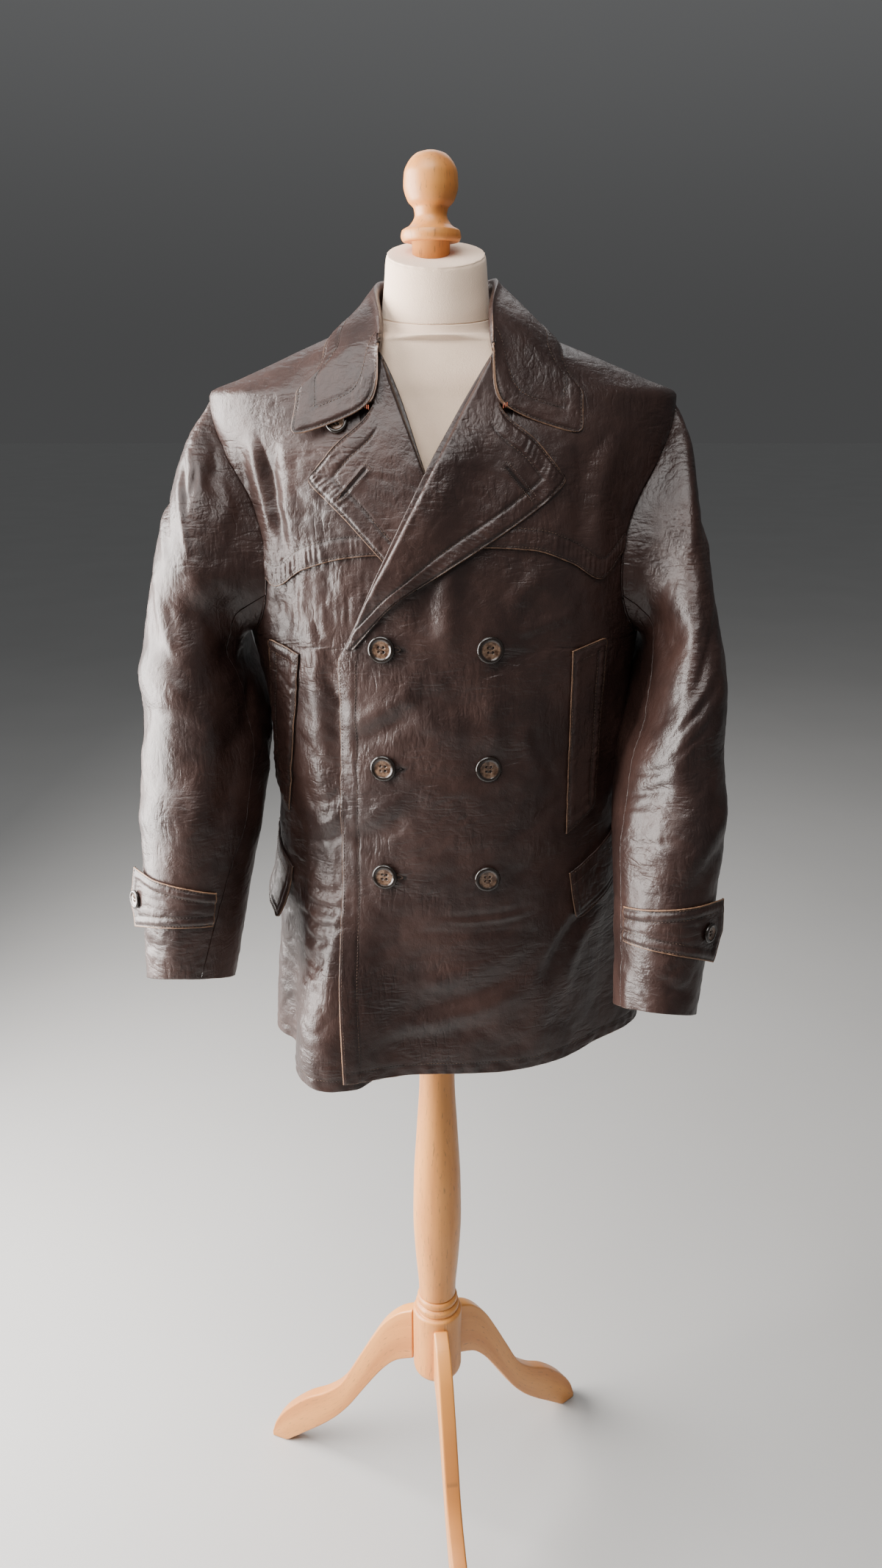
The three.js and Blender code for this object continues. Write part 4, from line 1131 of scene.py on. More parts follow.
@dataclass(frozen=True)
class HornFinish:
    """Polished dark horn with a mottled, lighter middle, and painted shade in its holes."""

    name: str = "button_horn"
    rim: Colour = (0.012, 0.008, 0.006, 1)
    middle: Colour = (0.050, 0.026, 0.016, 1)
    pale: Colour = (0.185, 0.115, 0.075, 1)
    # Near-black painted shade in the sunk holes
    hole: Colour = (0.006, 0.004, 0.003, 1)

    def make(self) -> Material:
        """Builds the material from the radius and hole masks."""
        t, shader, material = start_material(self.name)
        place = t.place()
        cloud = t.ramp(t.noise(place, 210.0, 4.0, 0.6), 0.36, 0.66)
        inside = t.mix(cloud, self.middle, self.pale)
        colour = t.mix(t.ramp(t.mask("radius"), 0.56, 0.74), inside, self.rim)
        # Painted shade: the holes are coloured near black
        t.put(shader.inputs["Base Color"], t.mix(t.mask("hole"), colour, self.hole))
        t.put(shader.inputs["Roughness"], t.math("MULTIPLY_ADD", cloud, 0.12, 0.16))
        t.put(shader.inputs["Coat Weight"], 0.35)
        bump(t, shader, t.noise(place, 900.0, 3.0, 0.5), 0.00006)
        return material


@dataclass(frozen=True)
class ThreadFinish:
    """Twisted sewing thread."""

    name: str
    colour: Colour
    dark: Colour

    def make(self) -> Material:
        """Builds the material with a fine twist and uneven fading."""
        t, shader, material = start_material(self.name)
        place = t.place()
        fade = t.ramp(t.noise(place, 34.0, 3.0, 0.6), 0.35, 0.65)
        t.put(shader.inputs["Base Color"], t.mix(fade, self.dark, self.colour))
        t.put(shader.inputs["Roughness"], 0.62)
        bump(t, shader, t.noise(place, 2600.0, 1.0, 0.5), 0.0001)
        return material


@dataclass(frozen=True)
class JerseyFinish:
    """Matte cream knit cover."""

    name: str = "form_jersey"
    pale: Colour = (0.88, 0.67, 0.51, 1)
    shade: Colour = (0.78, 0.565, 0.41, 1)

    def make(self) -> Material:
        """Builds the material with fine wales and faint marks."""
        t, shader, material = start_material(self.name)
        place = t.place()
        marks = t.ramp(t.noise(place, 16.0, 5.0, 0.65), 0.38, 0.75)
        marked = t.math("MULTIPLY", marks, 0.45)
        t.put(shader.inputs["Base Color"], t.mix(marked, self.pale, self.shade))
        t.put(shader.inputs["Roughness"], t.math("MULTIPLY_ADD", marks, 0.08, 0.86))
        t.fill(shader, {"Sheen Weight": 0.25, "Sheen Roughness": 0.5})
        knit = t.cells(t.stretch(place, (1.0, 1.0, 0.62)), 1150.0, "F1")
        slub = t.noise(place, 90.0, 3.0, 0.6)
        bump(t, shader, t.math("MULTIPLY_ADD", slub, 0.9, knit), 0.00022)
        return material


class Grain(Enum):
    """What a wooden piece's grain follows."""

    UPRIGHT = "Object"
    ALONG = "UV"


@dataclass(frozen=True)
class BeechFinish:
    """Satin-varnished beech with short dark flecks."""

    name: str
    grain: Grain
    pale: Colour = (0.74, 0.312, 0.074, 1)
    band: Colour = (0.57, 0.212, 0.047, 1)
    fleck: Colour = (0.25, 0.115, 0.045, 1)

    def make(self, groups: dict[str, NodeTree]) -> Material:
        """Builds the material, with the grain up the piece or along its own map."""
        t, shader, material = start_material(self.name)
        place = t.place(self.grain.value)
        if self.grain is Grain.ALONG:
            swung = t.node("ShaderNodeMapping")
            t.fill(swung, {"Vector": place, "Rotation": (0, math.radians(90), 0)})
            place = swung.outputs[0]
        figure = use_group(t, groups["fleck"], Vector=place)
        colour = t.mix(figure.outputs["Band"], self.pale, self.band)
        flecks = t.math("MULTIPLY", figure.outputs["Fleck"], 0.55)
        t.put(shader.inputs["Base Color"], t.mix(flecks, colour, self.fleck))
        rough = t.math("MULTIPLY_ADD", figure.outputs["Band"], 0.14, 0.36)
        t.fill(shader, {"Roughness": rough, "Coat Weight": 0.2, "Coat Roughness": 0.3})
        bump(t, shader, figure.outputs["Fleck"], 0.00008)
        return material


def dress(obj: Object, material: Material, slot: str, *nodes: str) -> Object:
    """Gives a piece its finish and its place in the frame.

    Args:
        obj: The piece.
        material: Its finish.
        slot: Not used.
        nodes: Solids that it stands for.

    Returns:
        The same piece.
    """
    obj.data.materials.append(material)
    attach(obj, "root")
    if nodes:
        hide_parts(*nodes)
    log.info("%s: %d points", obj.name, len(obj.data.vertices))
    return obj


# The coat


@dataclass(frozen=True)
class LapelCut:
    """A lapel's four edges and its slit as places (x, z), and the sizes of its grid."""

    roll: Table
    outer: Table
    top: Table
    foot: Table
    slit: Table
    length: float
    width: float
    corner: float
    rise: float


@dataclass(frozen=True)
class FlapCut:
    """A flap's angles, the heights of its top's ends, its drop, and how far it stands off."""

    first: float
    last: float
    top: tuple[float, float]
    drop: float
    lift: float
    length: float


LAPELS = {
    Side.LEFT: LapelCut(
        roll=((-92, 1301), (-18, 1443), (51.5, 1575)),
        outer=((-82, 1300), (-42, 1345), (5, 1376), (45, 1401), (92, 1432), (119, 1454), (126, 1464)),
        top=((51.5, 1575), (63, 1527), (98, 1497), (126, 1464)),
        foot=((-92, 1301), (-82, 1300)),
        slit=((66, 1476), (91, 1448)),
        length=310, width=150, corner=0.07, rise=0.2,
    ),
    Side.RIGHT: LapelCut(
        roll=((-2, 1451), (-28, 1514), (-50.5, 1575)),
        outer=((-39, 1374), (-52, 1388), (-90, 1428), (-118, 1454), (-126, 1464)),
        top=((-50.5, 1575), (-63, 1527), (-97, 1496), (-126, 1464)),
        foot=((-2, 1451), (-20, 1411), (-39, 1374)),
        slit=((-66, 1474), (-92, 1446)),
        length=200, width=120, corner=0.11, rise=0.5,
    ),
}
FLAPS = {
    Side.LEFT: FlapCut(38.5, 78, (1049, 1103), 63, 2.5, 145),
    Side.RIGHT: FlapCut(-63, -94, (1036, 1072), 66, 20, 110),
}

# Corners of the chest pocket welts as places (x, z)
WELTS = {
    Side.LEFT: ((137, 1296), (176, 1307), (172, 1119), (137, 1096)),
    Side.RIGHT: ((-140, 1290), (-176, 1302), (-183, 1126), (-164, 1104)),
}

# Outer edge of the collar at shares of its half length: angle, height and lift off the body
COLLAR_STATIONS = (0, 0.16, 0.28, 0.5, 0.75, 1)
COLLAR_EDGES = {
    Side.LEFT: (
        (34.8, 34.6, 46, 90, 135, 180), (1502, 1542, 1573, 1594, 1588, 1580), (9.5, 8.8, 7.2, 6.2, 5, 5),
    ),
    Side.RIGHT: (
        (37.8, 36.4, 45, 90, 135, 180), (1499, 1542, 1573, 1600, 1590, 1580), (18, 11, 7.4, 6.2, 5, 5),
    ),
}


@dataclass
class Coat:
    """The coat's cut pieces, sewn and buttoned."""

    body: CoatBody
    leather: Material
    horn: Material
    thread: Thread
    tack: Thread
    hem_over: float = 815
    hem_under: float = 802
    hem_back: float = 811
    neck_z: float = 1602
    button_x: float = 54
    button_rows: Sizes = (1302, 1177, 1055)
    yoke_left: Table = (
        (25, 45, 93, 133, 166, 189, 240),
        (1400, 1401, 1398, 1384, 1366, 1388, 1420),
    )
    yoke_right: Table = (
        (36, 57, 87, 134, 165, 178, 240),
        (1391, 1393, 1390, 1376, 1357, 1366, 1400),
    )
    yoke_inner: Table = ((1380, 1480, 1594), (30, 62, 92))
    yoke_top: float = 1594
    double: Sizes = (2.6, 21)
    roll_round: float = 5.5
    hem_row: float = 14
    band: float = 20
    band_top: float = 1296
    welt_row: float = 2.4
    welt_inner: float = 13.0

    def finish(self, cloth: Cloth, rests_on: Sequence[str]) -> Object:
        """Builds a cut piece, gives it the leather and hides the solid it stands for."""
        obj = dress(cloth.build(), self.leather, "leather", cloth.name.removeprefix("coat_"))
        return obj

    def panel(
        self,
        name: str,
        hem: float,
        span: Callable[[Array], Pair],
        out: Callable[[Array, Array], Array],
        width: float,
        crowd: Sequence[tuple[float, float]] = (),
        rise: Callable[[Array], Array] | None = None,
        step: float = 2.9,
    ) -> Cloth:
        """One of the three body panels: rows at heights, columns at shares of the angle.

        Args:
            name: Node that the panel stands for.
            hem: Height of its lower edge.
            span: First and last angle at a height.
            out: How far the panel lies out from the body.
            width: Its greatest width.
            crowd: Shares and angles that columns crowd to near the hem.
            rise: Height that the hem is cut up by at an x.
            step: Distance between grid lines.

        Returns:
            The panel before sewing.
        """
        v = lines(self.neck_z - hem, step)
        u = lines(width, step)
        z = (hem + v * (self.neck_z - hem))[:, None]
        first, last = span(z)
        low = 1 - smooth((z - 1080) / 120)
        share = [0.0, *(k for k, _ in crowd), 1.0]
        angle = [first]
        for k, at in crowd:
            even = first + (last - first) * k
            angle.append(even + (at - even) * low)
        angle.append(last)
        table = np.stack([np.broadcast_to(a, z.shape)[:, 0] for a in angle], axis=0)
        phi = along(share, table, u).T
        z = np.broadcast_to(z, phi.shape)
        if rise:
            z = z + rise(self.body.bare(phi, z)[..., 0]) * (1 - smooth((z - hem) / 150))
        return Cloth(f"coat_{name}", *self.body.cell(phi, z, out(phi, z)))

    def build_panels(self) -> None:
        """Back, over front and under front, with stitched hems and front edge."""
        b = self.body
        back = self.panel(
            "back",
            self.hem_back,
            lambda z: (180 - b.arm_angle(z, b.scoop_back), 180 + b.arm_angle(z, b.scoop_back)),
            lambda phi, z: np.zeros_like(phi),
            680,
            step=3.9,
        )
        over = self.panel(
            "front_over",
            self.hem_over,
            lambda z: (b.angle_at(along(b.over_z, b.over_x, z), z), b.arm_angle(z, b.scoop_front)),
            b.over_out,
            380,
            [(0.36, -4)],
        )
        under = self.panel(
            "front_under",
            self.hem_under,
            lambda z: (-b.arm_angle(z, b.scoop_front), b.angle_at(along(b.under_z, b.under_x, z), z)),
            lambda phi, z: np.zeros_like(phi),
            400,
            [(0.2, -64), (0.76, -16)],
            lambda x: 17 * smooth((x + 80) / 30),
        )
        for cloth in (back, over, under):
            cloth.sew([Edge.FOOT], (self.hem_row,), 0)
            hem = cloth.away(Edge.FOOT)
            ripple = np.sin(cloth.across / 3.4 + 2 * np.sin(cloth.across / 19))
            cloth.emboss(0.7 * smooth((self.hem_row - hem) / 6) * smooth(hem / 3) * ripple)
            if cloth is over:
                self.sew_front_edge(cloth)
                cloth.turn_edges([Edge.START, Edge.FOOT], 0.85, 1.2)
            else:
                cloth.turn_edges([Edge.FOOT], 0.5, 1.2)
            cloth.wear = cloth.wear * smooth((1302 - cloth.points[..., 2]) / 10)
            cloth.renew_normals()
            self.thread.run(*cloth.stitch_row(Edge.FOOT, self.hem_row))
            self.finish(cloth, ["dress_form"])

    def sew_front_edge(self, cloth: Cloth) -> None:
        """Ticked band between two stitch rows up the front edge, and slots beside the buttons, with painted
        shade in the groove and the slots.
        """
        low = cloth.points[..., 2] < self.band_top
        near = cloth.away(Edge.START)
        groove = bell((near - self.band) / GROOVE) * low
        tick = np.sin(cloth.upward / 1.9 + 2 * np.sin(cloth.upward / 13))
        between = smooth(near / 4) * smooth((self.band - near) / 5) * low
        cloth.emboss(-0.6 * groove + between * (0.5 + 0.12 * tick))
        # Painted shade in the groove under the inner stitch row
        cloth.soil(0.7 * groove)
        for distance in (self.band, 3.4):
            path, normals = cloth.stitch_row(Edge.START, distance)
            keep = path[:, 2] < self.band_top - 4
            self.thread.run(path[keep], normals[keep])
        for z in self.button_rows:
            slot = ((0.76 * -self.button_x, z), (0.56 * -self.button_x, z - 1))
            self.slit(cloth, cloth.points[..., 0], cloth.points[..., 2], *slot, wide=1.7)

    def lay(self, word: str, side: Side, phi: Array, z: Array, above: Array | float) -> Cloth:
        """Piece that lies a distance above the front on its side."""
        out = self.body.front_out(side, phi, z) + above
        return Cloth(f"coat_{word}_{side.word}", *self.body.cell(phi, z, out))

    def stitch_round(self, cloth: Cloth, edges: Sequence[Edge], distance: float) -> None:
        """Runs a row of stitches along some edges of a piece, each clear of the others."""
        for edge in edges:
            others = [k for k in edges if k is not edge]
            self.thread.run(*cloth.stitch_row(edge, distance, others))

    def build_yoke(self, side: Side) -> None:
        """Shoulder yoke that lies on a front, with a pointed, double-stitched lower edge."""
        b, s = self.body, side.value
        edge = self.yoke_left if side is Side.LEFT else self.yoke_right
        u, v = lines(190, 1.7), lines(210, 2.6)

        def span(z: Array) -> Pair:
            """Inner and outer angle of the yoke at a height."""
            inner = b.angle_at(s * along(*self.yoke_inner, z), z)
            return inner, s * (b.arm_angle(z, b.scoop_front) - 0.5)

        z = np.full_like(u, 1385.0)
        for _ in range(8):
            first, last = span(z)
            phi = first + (last - first) * u
            z = along(edge[0], edge[1], s * b.bare(phi, z)[..., 0])
        z = z[None, :] + (self.yoke_top - z[None, :]) * v[:, None]
        first, last = span(z)
        phi = first + (last - first) * u[None, :]
        cloth = self.lay("yoke", side, phi, z, STEP + 0.4)
        cloth.sew([Edge.FOOT], self.double, 1.0, 0.4)
        cloth.turn_edges([Edge.FOOT], 0.68)
        cloth.renew_normals()
        for distance in self.double:
            self.thread.run(*cloth.stitch_row(Edge.FOOT, distance))
        self.finish(cloth, [side.front])

    def build_lapel(self, side: Side) -> None:
        """Lapel: a patch between four edges, laid on the front and raised along its roll."""
        left, lapel = side is Side.LEFT, LAPELS[side]
        u, v = np.meshgrid(lines(lapel.length, 1.9), lines(lapel.width, 1.9), indexing="ij")
        u, v = round_corner(u, v, (lapel.corner, 0.15), True, True)
        r, o = through(lapel.roll, u), through(lapel.outer, u)
        f, t = through(lapel.foot, v), through(lapel.top, v)
        uu, vv = u[..., None], v[..., None]
        low, high = (
            np.array(k[0]) * (1 - vv) + np.array(k[-1]) * vv for k in (lapel.foot, lapel.top)
        )
        place = r * (1 - vv) + o * vv + f * (1 - uu) + t * uu - low * (1 - uu) - high * uu
        x, z = place[..., 0], place[..., 1]
        phi = self.body.angle_at(x, z)
        below = self.body.over_out(phi, z) + STEP * smooth(u / 0.3) if left else STEP
        out = below + STEP + 0.5 + 4 * (1 - v) ** 2 * smooth(u / lapel.rise)
        cloth = Cloth(f"coat_lapel_{side.word}", *self.body.cell(phi, z, out))
        edges = [Edge.END, Edge.TOP]
        by_collar = cloth.away(Edge.TOP) < cloth.away(Edge.END)
        sewn = np.where(by_collar, smooth((v - 0.28) / 0.1), 1.0)
        cloth.sew(edges, self.double, 0.95, 0.5, sewn)
        self.slit(cloth, x, z, *lapel.slit)
        cloth.turn_edges(edges, 0.68)
        cloth.roll_edge(Edge.START, self.roll_round)
        cloth.renew_normals()
        for distance in self.double:
            self.thread.run(*cloth.stitch_row(Edge.END, distance, [Edge.TOP]))
            path, n = cloth.stitch_row(Edge.TOP, distance, [Edge.END])
            free = np.abs(path[:, 0]) > 60
            self.thread.run(path[free], n[free])
        self.buttonhole(cloth, x, z, *lapel.slit)
        self.finish(cloth, [f"coat_yoke_{side.word}"])

    @staticmethod
    def slit(
        cloth: Cloth,
        x: Array,
        z: Array,
        start: Sizes,
        end: Sizes,
        wide: float = 1.0,
    ) -> None:
        """Sinks a buttonhole's slit into a piece between two places (x, z), with painted shade in it.

        Args:
            cloth: The piece.
            x: X of its points.
            z: Height of its points.
            start: One end of the slit.
            end: The other end.
            wide: Spread of the slit to each side.
        """
        a, b = np.array(start, float), np.array(end, float)
        length = np.linalg.norm(b - a)
        d = (b - a) / length
        along_it = (x - a[0]) * d[0] + (z - a[1]) * d[1]
        off = (x - a[0]) * d[1] - (z - a[1]) * d[0]
        ends = smooth(along_it / 2) * smooth((length - along_it) / 2)
        cut = bell(off / wide) * ends
        lip = bell((np.abs(off) - 3 * wide) / (1.4 * wide)) * ends
        cloth.emboss(0.7 * lip - 1.5 * cut)
        # Painted shade inside the slit
        cloth.soil(1.3 * cut)

    def buttonhole(self, cloth: Cloth, x: Array, z: Array, start: Sizes, end: Sizes) -> None:
        """Sews a closed row of small stitches round a slit between two places (x, z)."""
        a, b = np.array(start, float), np.array(end, float)
        d = (b - a) / np.linalg.norm(b - a)
        side = np.array([d[1], -d[0]]) * 3
        a, b = a - d * 2.5, b + d * 2.5
        corners = [a + side, b + side, b - side, a - side]
        for p, q in zip(corners, corners[1:] + corners[:1]):
            steps = np.linspace(0, 1, 24)[:, None]
            wanted = p + (q - p) * steps
            gap = (x[..., None] - wanted[:, 0]) ** 2 + (z[..., None] - wanted[:, 1]) ** 2
            near = np.argmin(gap.reshape(-1, len(wanted)), axis=0)
            points, normals = cloth.points.reshape(-1, 3)[near], cloth.normals.reshape(-1, 3)[near]
            straight = points[:1] + (points[-1:] - points[:1]) * steps
            out = np.sum((points - straight) * normals, axis=1, keepdims=True)
            self.thread.run(straight + normals * out.max(), normals, 2.2, 1.8)

    def collar_edge(self, side: Side, t: Array) -> Array:
        """Outer edge of the collar: angle, height and lift off the body along the half length."""
        angle, z, lift = (along(COLLAR_STATIONS, row, t) for row in COLLAR_EDGES[side])
        return self.body.cell(side.value * angle, z, lift)[0]

    def on_over(self, x: Array, z: Array, above: float) -> Pair:
        """Points and normals above the over front at places (x, z)."""
        phi = self.body.angle_at(x, z)
        return self.body.cell(phi, z, self.body.over_out(phi, z) + above)

    def on_front(self, x: float, z: float, out: float) -> Array:
        """Point out from the front at a place (x, z)."""
        x, z = np.array(x), np.array(z)
        return self.body.cell(self.body.angle_at(x, z), z, out)[0]

    def collar_section(self, side: Side, t: Array) -> Array:
        """Section points of the collar: base, inner, roll, outer, middle and edge.

        Args:
            side: Half of the collar.
            t: Share of the half length from the front end to the back.

        Returns:
            Six points for each t, stations first.
        """
        s = side.value
        drop, tuck = (2, 7.5) if side is Side.LEFT else (16, 3.0)
        base = [
            self.on_front(s * 54, 1579, 7),
            self.on_front(s * 71, 1584 + 1.3 * tuck, tuck),
            (s * 84, -4, 1607),
            (s * 57, 54, 1606),
            (0, 73, 1606),
        ]
        roll = [
            self.on_front(s * 53, 1582, 14),
            (s * 55, -47, 1630 - drop),
            (s * 61, 4, 1653 - drop / 2),
            (s * 49, 56, 1655),
            (0, 77, 1654),
        ]
        b, r, e = through(base, t), through(roll, t), self.collar_edge(side, t)
        notch = self.on_front(s * 66, 1530, 12.5)
        share = smooth(t / 0.2)[..., None]
        m = notch * (1 - share) + ((r + e) / 2 + (0, 0, 2.5)) * share
        dip = np.minimum(11, 0.5 * np.maximum(6, r[..., 2] - b[..., 2]))[..., None]
        level = unit((m - r) * (1, 1, 0))
        inner = r - 2.5 * level - dip * (0, 0, 1)
        outer = r + 0.62 * dip * level - 0.55 * dip * (0, 0, 1)
        return np.stack([b, inner, r, outer, m, e])

    def build_collar(self) -> None:
        """Collar with stand, roll and fall in one turned piece, round at both tips."""
        u, v = np.meshgrid(lines(560, 1.9), lines(170, 2.1), indexing="ij")
        for high in (False, True):
            u, v = round_corner(u, v, (0.022, 0.07), high, True)
        right = u <= 0.5
        t = np.where(right, 2 * u, 2 - 2 * u)
        stations = {s: self.collar_section(s, t) for s in Side}
        section = np.where(right[..., None], stations[Side.RIGHT], stations[Side.LEFT])
        points = self.across_section(section, v)
        eased = np.mean([np.roll(points, k, axis=0) for k in range(-10, 11)], axis=0)
        points = points + (eased - points) * bell((u - 0.5) / 0.05)[..., None]
        cloth = Cloth("coat_collar", points, -grid_normals(points))
        fall = smooth((v - 0.42) / 0.2)
        cloth.emboss(0.8 * fall * np.maximum(crumple(points), -0.3))
        front = np.minimum(cloth.away(Edge.FOOT), cloth.away(Edge.TOP)) < cloth.away(Edge.END)
        sewn = np.where(front, smooth((v - 0.66) / 0.1), 1.0)
        cloth.sew([Edge.END, Edge.FOOT, Edge.TOP], self.double, 0.9, 0.45, sewn)
        cloth.turn_edges(list(Edge), 0.72)
        fold = bell((v - 0.43) / 0.05) * bell((t - 0.1) / 0.09)
        cloth.rub(0.62 * fold)
        cloth.renew_normals()
        for distance in self.double:
            self.thread.run(*cloth.stitch_row(Edge.END, distance, [Edge.FOOT, Edge.TOP]))
            for edge in (Edge.FOOT, Edge.TOP):
                path, n = cloth.stitch_row(edge, distance, [Edge.END])
                half = int(0.64 * len(path))
                self.thread.run(path[half:], n[half:])
        self.finish(cloth, ["coat_lapel_left", "coat_lapel_right"])
        for side in Side:
            self.notch_tack(side)

    def notch_tack(self, side: Side) -> None:
        """Short bars of bright thread where the collar meets the lapel."""
        x = side.value * (64 + 1.8 * np.arange(3))
        z = 1528 + 0.7 * np.arange(3)
        phi = self.body.angle_at(x, z)
        out = self.body.front_out(side, phi, z) + 2 * STEP + 4.6
        points, n = self.body.cell(phi, z, out)
        self.tack.bar(points + (0, 0, -2.4), points + (0, 0, 2.4), n)

    @staticmethod
    def across_section(section: Array, v: Array) -> Array:
        """Catmull-Rom through each place's own six section points."""
        last = len(section) - 1
        s = clamp01(v) * last
        i = np.minimum(last - 1, np.floor(s).astype(int))
        rows, cols = np.indices(v.shape)
        four = [section[np.clip(i + k, 0, last), rows, cols] for k in (-1, 0, 1, 2)]
        return catmull(four, (s - i)[..., None])

    def build_welt(self, side: Side) -> None:
        """Slanted hand-warmer pocket: a long stitched patch with an inner row and painted shade in its
        opening.
        """
        a, b, c, d = (np.array(k, float) for k in WELTS[side])
        v, u = np.meshgrid(lines(195, 1.9), lines(40, 1.7), indexing="ij")
        v, u = round_corner(v, u, (0.04, 0.2), False, True)
        uu, vv = u[..., None], v[..., None]
        place = (a * (1 - uu) + b * uu) * (1 - vv) + (d * (1 - uu) + c * uu) * vv
        z = place[..., 1]
        phi = self.body.angle_at(place[..., 0], z)
        cloth = self.lay("welt", side, phi, z, STEP + 0.45)
        edges = list(Edge)
        near, along_it = cloth.nearest(edges)
        cloth.sew(edges, (self.welt_row,), 0)
        inner = self.welt_inner
        opening = bell((cloth.away(Edge.END) - inner) / 1.2) * smooth((near - 7) / 3)
        wave = np.sin(along_it / 1.7 + 2 * np.sin(along_it / 11))
        between = smooth((near - self.welt_row) / 3) * smooth((inner - near) / 4)
        cloth.emboss(-0.9 * opening + between * (0.75 + 0.35 * wave))
        # Painted shade in the pocket opening
        cloth.soil(opening)
        cloth.turn_edges(edges, 0.78)
        cloth.renew_normals()
        self.stitch_round(cloth, edges, self.welt_row)
        for edge in (Edge.FOOT, Edge.END):
            self.thread.run(*cloth.stitch_row(edge, inner, [Edge.FOOT, Edge.TOP]))
        self.finish(cloth, [side.front])

    def build_flap(self, side: Side) -> None:
        """Hip pocket flap, sewn on along its top, with rounded lower corners."""
        flap = FLAPS[side]
        v, u = np.meshgrid(lines(66, 1.7), lines(flap.length, 1.9), indexing="ij")
        for high in (False, True):
            v, u = round_corner(v, u, (0.22, 0.12), True, high)
        phi = flap.first + (flap.last - flap.first) * u + 2.5 * v * (1 - u) * side.value
        z = flap.top[0] + (flap.top[1] - flap.top[0]) * u - flap.drop * v
        cloth = self.lay("flap", side, phi, z, STEP + flap.lift * v * v * (1 - 0.6 * u))
        cloth.emboss(0.5 * smooth(v / 0.2) * np.maximum(crumple(cloth.points + 200), -0.4))
        free = [Edge.TOP, Edge.START, Edge.END]
        cloth.sew(free, (2.6, 9), 0.2, 0.2)
        cloth.turn_edges(free, 0.7)
        cloth.renew_normals()
        self.stitch_round(cloth, free, 2.6)
        for distance in (3, 16):
            self.thread.run(*cloth.stitch_row(Edge.FOOT, distance))
        self.finish(cloth, [side.front])

    def build_buttons(self) -> None:
        """Two columns of buttons, the slots beside the right one, and the one by the collar."""
        for row, z in enumerate(self.button_rows, start=1):
            for side in Side:
                x = side.value * self.button_x
                lift = 0.8 if row == 3 and side is Side.RIGHT else 0.0
                seat = self.on_over(np.array(x), np.array(z), lift)
                Button(f"button_{side.word}_{row}", *seat, 28.0, 4.4).build(self.horn, self.thread)
                if side is Side.RIGHT:
                    self.slot_stitches(x + 14.5, z)
        x, z = np.array(-96.0), np.array(1516.0)
        seat = self.body.cell(self.body.angle_at(x, z), z, STEP + 0.9)
        Button("button_collar", *seat, 22.0, 3.6).build(self.horn, self.thread)

    def slot_stitches(self, x: float, z: float) -> None:
        """Small keyhole end of a buttonhole that shows beside its button."""
        turn = np.radians(np.linspace(-115, 115, 13))
        xs, zs = x + 5 * np.cos(turn), z + 3.2 * np.sin(turn)
        points, n = self.on_over(xs, zs, 0.15)
        inside = points + unit(points - points.mean(axis=0)) * -2.0
        self.thread.bar(points, inside, n)

    def build(self) -> None:
        """Makes every piece of the coat except the sleeves."""
        self.build_panels()
        for side in Side:
            self.build_yoke(side)
            self.build_lapel(side)
            self.build_welt(side)
            self.build_flap(side)
        self.build_collar()
        self.build_buttons()


@dataclass
class Button:
    """Four-hole button with a raised rim, sewn on with two bars of thread."""

    name: str
    seat: Array
    normal: Array
    diameter: float
    height: float
    columns: int = 56
    dish_share: float = 0.6
    # Shares of the radius and of the height, from the dish over the rim to the underside
    rim: Sizes = (0.65, 0.7, 0.75, 0.8, 0.86, 0.92, 0.965, 0.99, 1, 0.985, 0.94, 0.86, 0.74)
    rim_height: Sizes = (
        0.76, 0.88, 0.97, 1.0, 0.98, 0.9, 0.78, 0.62, 0.45, 0.3, 0.2, 0.12, 0.08,
    )

    def build(self, horn: Material, thread: Thread) -> Object:
        """Turns the profile round the seat's normal and sinks four holes.

        Args:
            horn: The button's finish.
            thread: Thread that the bars go to.

        Returns:
            The finished button.
        """
        n = unit(self.normal)
        across = unit(np.cross([0.0, 0.0, 1.0], n))
        up = np.cross(n, across)
        radius, h = self.diameter / 2, self.height
        dish = np.linspace(0.012, self.dish_share, 22)
        share = np.concatenate([dish, self.rim])
        dish_height = 0.6 + 0.1 * (dish / self.dish_share) ** 2
        height = np.concatenate([dish_height, self.rim_height]) * h
        turn = full_turn(self.columns)
        x, y = (radius * share[:, None] * f(turn) for f in (np.cos, np.sin))
        # Mask of the sunk holes, which the horn paints with near-black shade
        hole = np.zeros_like(x)
        spot, wide = 0.17 * radius, 0.085 * radius
        for sx, sy in ((1, 1), (1, -1), (-1, 1), (-1, -1)):
            d = np.hypot(x - sx * spot, y - sy * spot)
            hole = np.maximum(hole, np.exp(-((d / wide) ** 4)))
        hole[share > 0.62] = 0
        z = np.broadcast_to(height[:, None], x.shape) - 0.42 * h * hole
        points = self.seat + x[..., None] * across + y[..., None] * up + z[..., None] * n
        rows, cols = x.shape
        middle = [self.seat + n * height[0], self.seat + n * height[-1]]
        flat = np.concatenate([points.reshape(-1, 3), middle])
        quads, tris = turned_faces(rows, cols)
        obj = make_object(f"coat_{self.name}", flat, quads[:, ::-1], tris[:, ::-1])
        set_mask(obj, "radius", np.concatenate([np.repeat(share, cols), [0.0, 0.0]]))
        set_mask(obj, "hole", np.concatenate([hole.ravel(), [0.0, 0.0]]))
        level = self.seat + n * (0.66 * h)
        for sy in (-1, 1):
            middle = level + up * sy * spot
            for shift in (-0.3, 0.3):
                a, b = (middle + across * sx * spot + up * shift for sx in (-1, 1))
                thread.bar(a, b, n)
        return dress(obj, horn, "horn", self.name)


